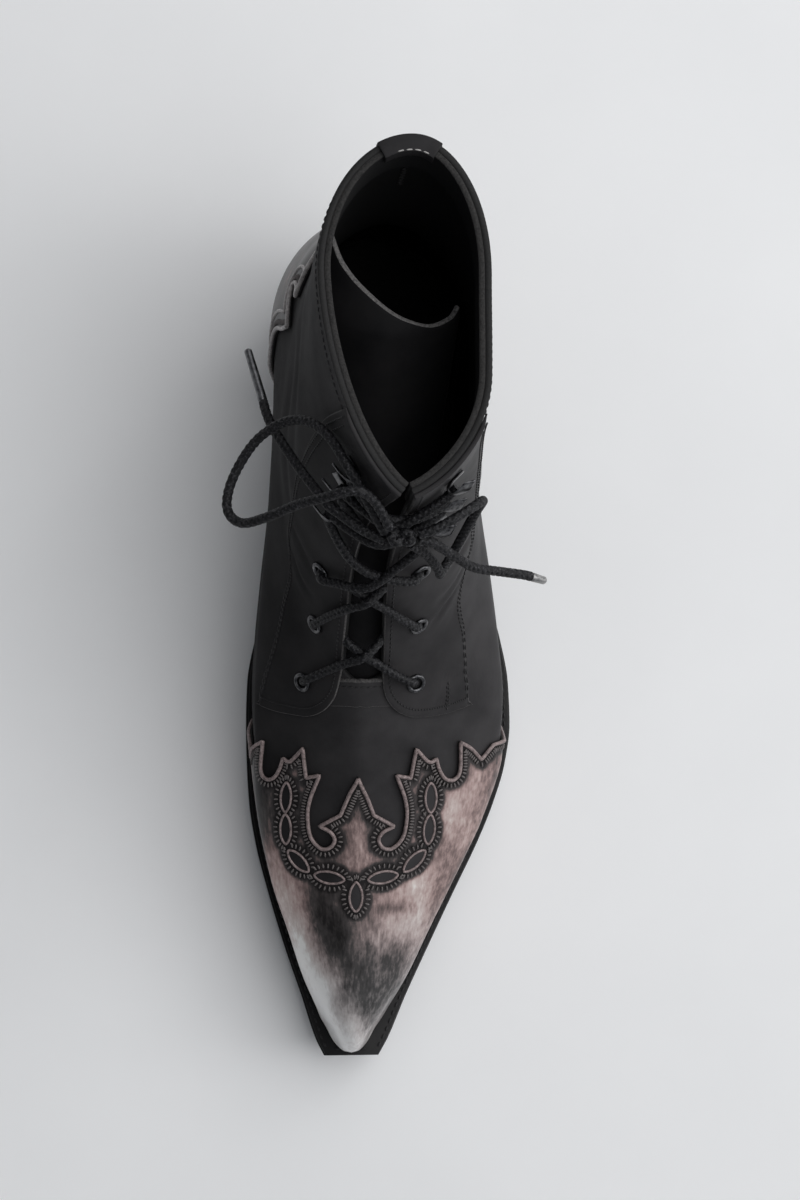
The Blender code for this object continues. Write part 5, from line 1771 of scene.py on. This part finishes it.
def make_lacing():
    """Lace through the eyelets and round the hooks, up to the knot."""
    for (name, y, medial, lateral), (_, next_y, _, _) in zip(EYELETS, EYELETS[1:]):
        strands = []
        for start, way, over in ((-medial, 1, 1.3), (lateral, -1, -1.4)):
            lifts = (*EYELET_LIFTS, (0.11, 4.6), (0.3, LACE_RIDE), (0.62, 2.6 + over), (0.82, 0.2), (1, -4.0))
            strands.append(instep_strand((start, y), (way * 12.0, next_y - 3.0), lifts))
        add_crossing(f"lace_crossing_{name}", strands)

    def over_shaft(over):
        return ((0.3, LACE_RIDE), (0.5, LACE_RIDE + over), (0.7, LACE_RIDE), (1, HOOK_RIDE))

    def hook_end(row, side, step):
        return row[1] + step, side * (row[2] - 1.0)

    strands = []
    for side, over in STRAND_OVER:
        level, around = eyelet_spot(EYELETS[2], side)
        across = abs(front_flat(np.array([level]), np.array([around]))[0, 0])
        lifts = (*EYELET_LIFTS, (0.12, 4.6), *over_shaft(over))
        strands.append(strand((level, side * across), hook_end(HOOKS[0], -side, -0.004), lifts))
    add_crossing("lace_crossing_top", strands)
    for lower, upper in zip(HOOKS, HOOKS[1:]):
        strands = []
        for side, over in STRAND_OVER:
            lifts = ((0, HOOK_RIDE), *over_shaft(over))
            strands.append(strand(hook_end(lower, side, 0.006), hook_end(upper, -side, -0.004), lifts))
        add_crossing(f"lace_crossing_hooks_{lower[0]}", strands)


def lace_cord(name, route):
    """A free stretch of the lace, from the knot."""
    centres = smooth_route(route, LACE_STEP)
    made = add_tube(f"{name}_braid", centres, LACE_D / 2, LACE_CORD, LACE_SIDES, LACE_WEAVE, nodes=(name,),
                    slot="waxed_cord")


def add_tip(name, ends, finish):
    """The metal or plastic tip on an end of the lace."""
    centres = even_line(ends, 0.5)
    run = normalised(np.subtract(ends[1], ends[0]))
    side = normalised(np.cross(run, (0, 0, 1)))
    points = []
    for centre, s in zip(centres, np.linspace(0, 1, len(centres))):
        size = AGLET_D / 2 * (1 - 0.16 * s) * min(1, 0.75 + 12 * s, 0.7 + 14 * (1 - s))
        points += [centre + size * spoke for spoke in spokes(side, np.cross(run, side), TIP_SIDES)]
    faces = loft_faces(len(centres), TIP_SIDES)
    return add_piece(f"{name}_tip", points, faces, (finish,), nodes=(name,), slot="gunmetal")


def make_bow():
    """Knot, loops and ends of the lace, and the tips on the ends."""
    medial_tip = add_tip("aglet_medial", AGLET_MEDIAL, TIP_METAL)
    lateral_tip = add_tip("aglet_lateral", AGLET_LATERAL, TIP_CLEAR)
    lace_cord("lace_loop_medial", LOOP_MEDIAL)
    lace_cord("lace_loop_lateral", LOOP_LATERAL)
    lace_cord("lace_end_medial", END_MEDIAL)
    lace_cord("lace_end_lateral", END_LATERAL)
    t = np.linspace(0, 2 * np.pi, 140, endpoint=False)
    waves = (np.sin(t) + 1.1 * np.sin(2 * t), -np.sin(3 * t), np.cos(t) - 1.1 * np.cos(2 * t))
    shape = np.stack(waves, axis=1)
    shape = shape / np.abs(shape).max(axis=0) * (1, 0.9, 1)
    centres = np.array(KNOT_CENTRE) + shape * (np.array(KNOT_HALF) - LACE_D / 2)
    closed = np.concatenate((centres, centres[:1]))
    loops = tube_points(closed, LACE_D / 2, LACE_SIDES, LACE_WEAVE)[:-LACE_SIDES]
    add_piece("lace_knot_braid", loops, loft_faces(len(centres), LACE_SIDES, True), (LACE_CORD,),
              nodes=("lace_knot",), slot="waxed_cord", sharp=75)


def add_to_scene(name, data):
    """An object of the stage that isn't part of the boot."""
    made = bpy.data.objects.new(name, data)
    bpy.context.scene.collection.objects.link(made)
    return made


def make_floor():
    """Pale floor with faint clouds."""
    mesh = bpy.data.meshes.new("floor")
    corners = [(-1, -1), (1, -1), (1, 1), (-1, 1)]
    mesh.from_pydata([(x * FLOOR_HALF, y * FLOOR_HALF, FLOOR_Z) for x, y in corners], [], [(0, 1, 2, 3)])
    finish, node = new_finish("floor")
    spots = noise(node, place_on(node), 6, 6)
    dress(finish, Base_Color=ramp(node, spots, *FLOOR_COLOURS), Roughness=0.75)
    mesh.materials.append(finish)
    add_to_scene("floor", mesh)


def make_light():
    """Soft sky that fades to the medial side, and the lamps."""
    world = bpy.data.worlds.new("studio")
    bpy.context.scene.world = world
    world.use_nodes = True
    node = node_maker(world.node_tree)
    way = node("ShaderNodeTexCoord").outputs["Generated"]
    from_side = node("ShaderNodeSeparateXYZ", Vector=way).outputs["X"]
    sky = world.node_tree.nodes["Background"]
    sky.inputs["Color"].default_value = SKY_COLOUR
    put(world.node_tree, sky.inputs["Strength"], graded(node, from_side, *SKY_STRENGTH, SKY_LIMITS))
    bpy.context.scene.view_settings.view_transform = "Standard"
    for name, place, target, wide, power in LIGHTS:
        lamp = bpy.data.lights.new(name, "AREA")
        lamp.shape = "RECTANGLE"
        lamp.size, lamp.size_y = wide
        lamp.energy = power
        holder = add_to_scene(name, lamp)
        holder.location = place
        aim = Vector(target) - Vector(place)
        holder.rotation_euler = aim.to_track_quat("-Z", "Y").to_euler()


def make_camera():
    """The camera of the photograph."""
    camera = bpy.data.cameras.new("camera")
    camera.sensor_fit = "VERTICAL"
    camera.sensor_height = 36.0
    camera.lens = PHOTO_FOCAL / PHOTO_HEIGHT * camera.sensor_height
    eye = add_to_scene("camera", camera)
    eye.location = CAMERA_PLACE
    back = (Vector(CAMERA_PLACE) - Vector(CAMERA_TARGET)).normalized()
    right = Vector((0, 1, 0)).cross(back).normalized()
    eye.rotation_euler = Matrix((right, back.cross(right), back)).transposed().to_euler()
    bpy.context.scene.camera = eye


make_upper()
make_toe_cap()
make_heel_counter()
make_facing("facing_medial", -1)
make_facing("facing_lateral", 1)
make_collar_lining()
make_back_tab()
make_seams()
make_throat()
make_tongue()
make_sole()
make_heel()
make_eyelets()
make_hooks()
make_lacing()
make_bow()
make_floor()
make_light()
make_camera()
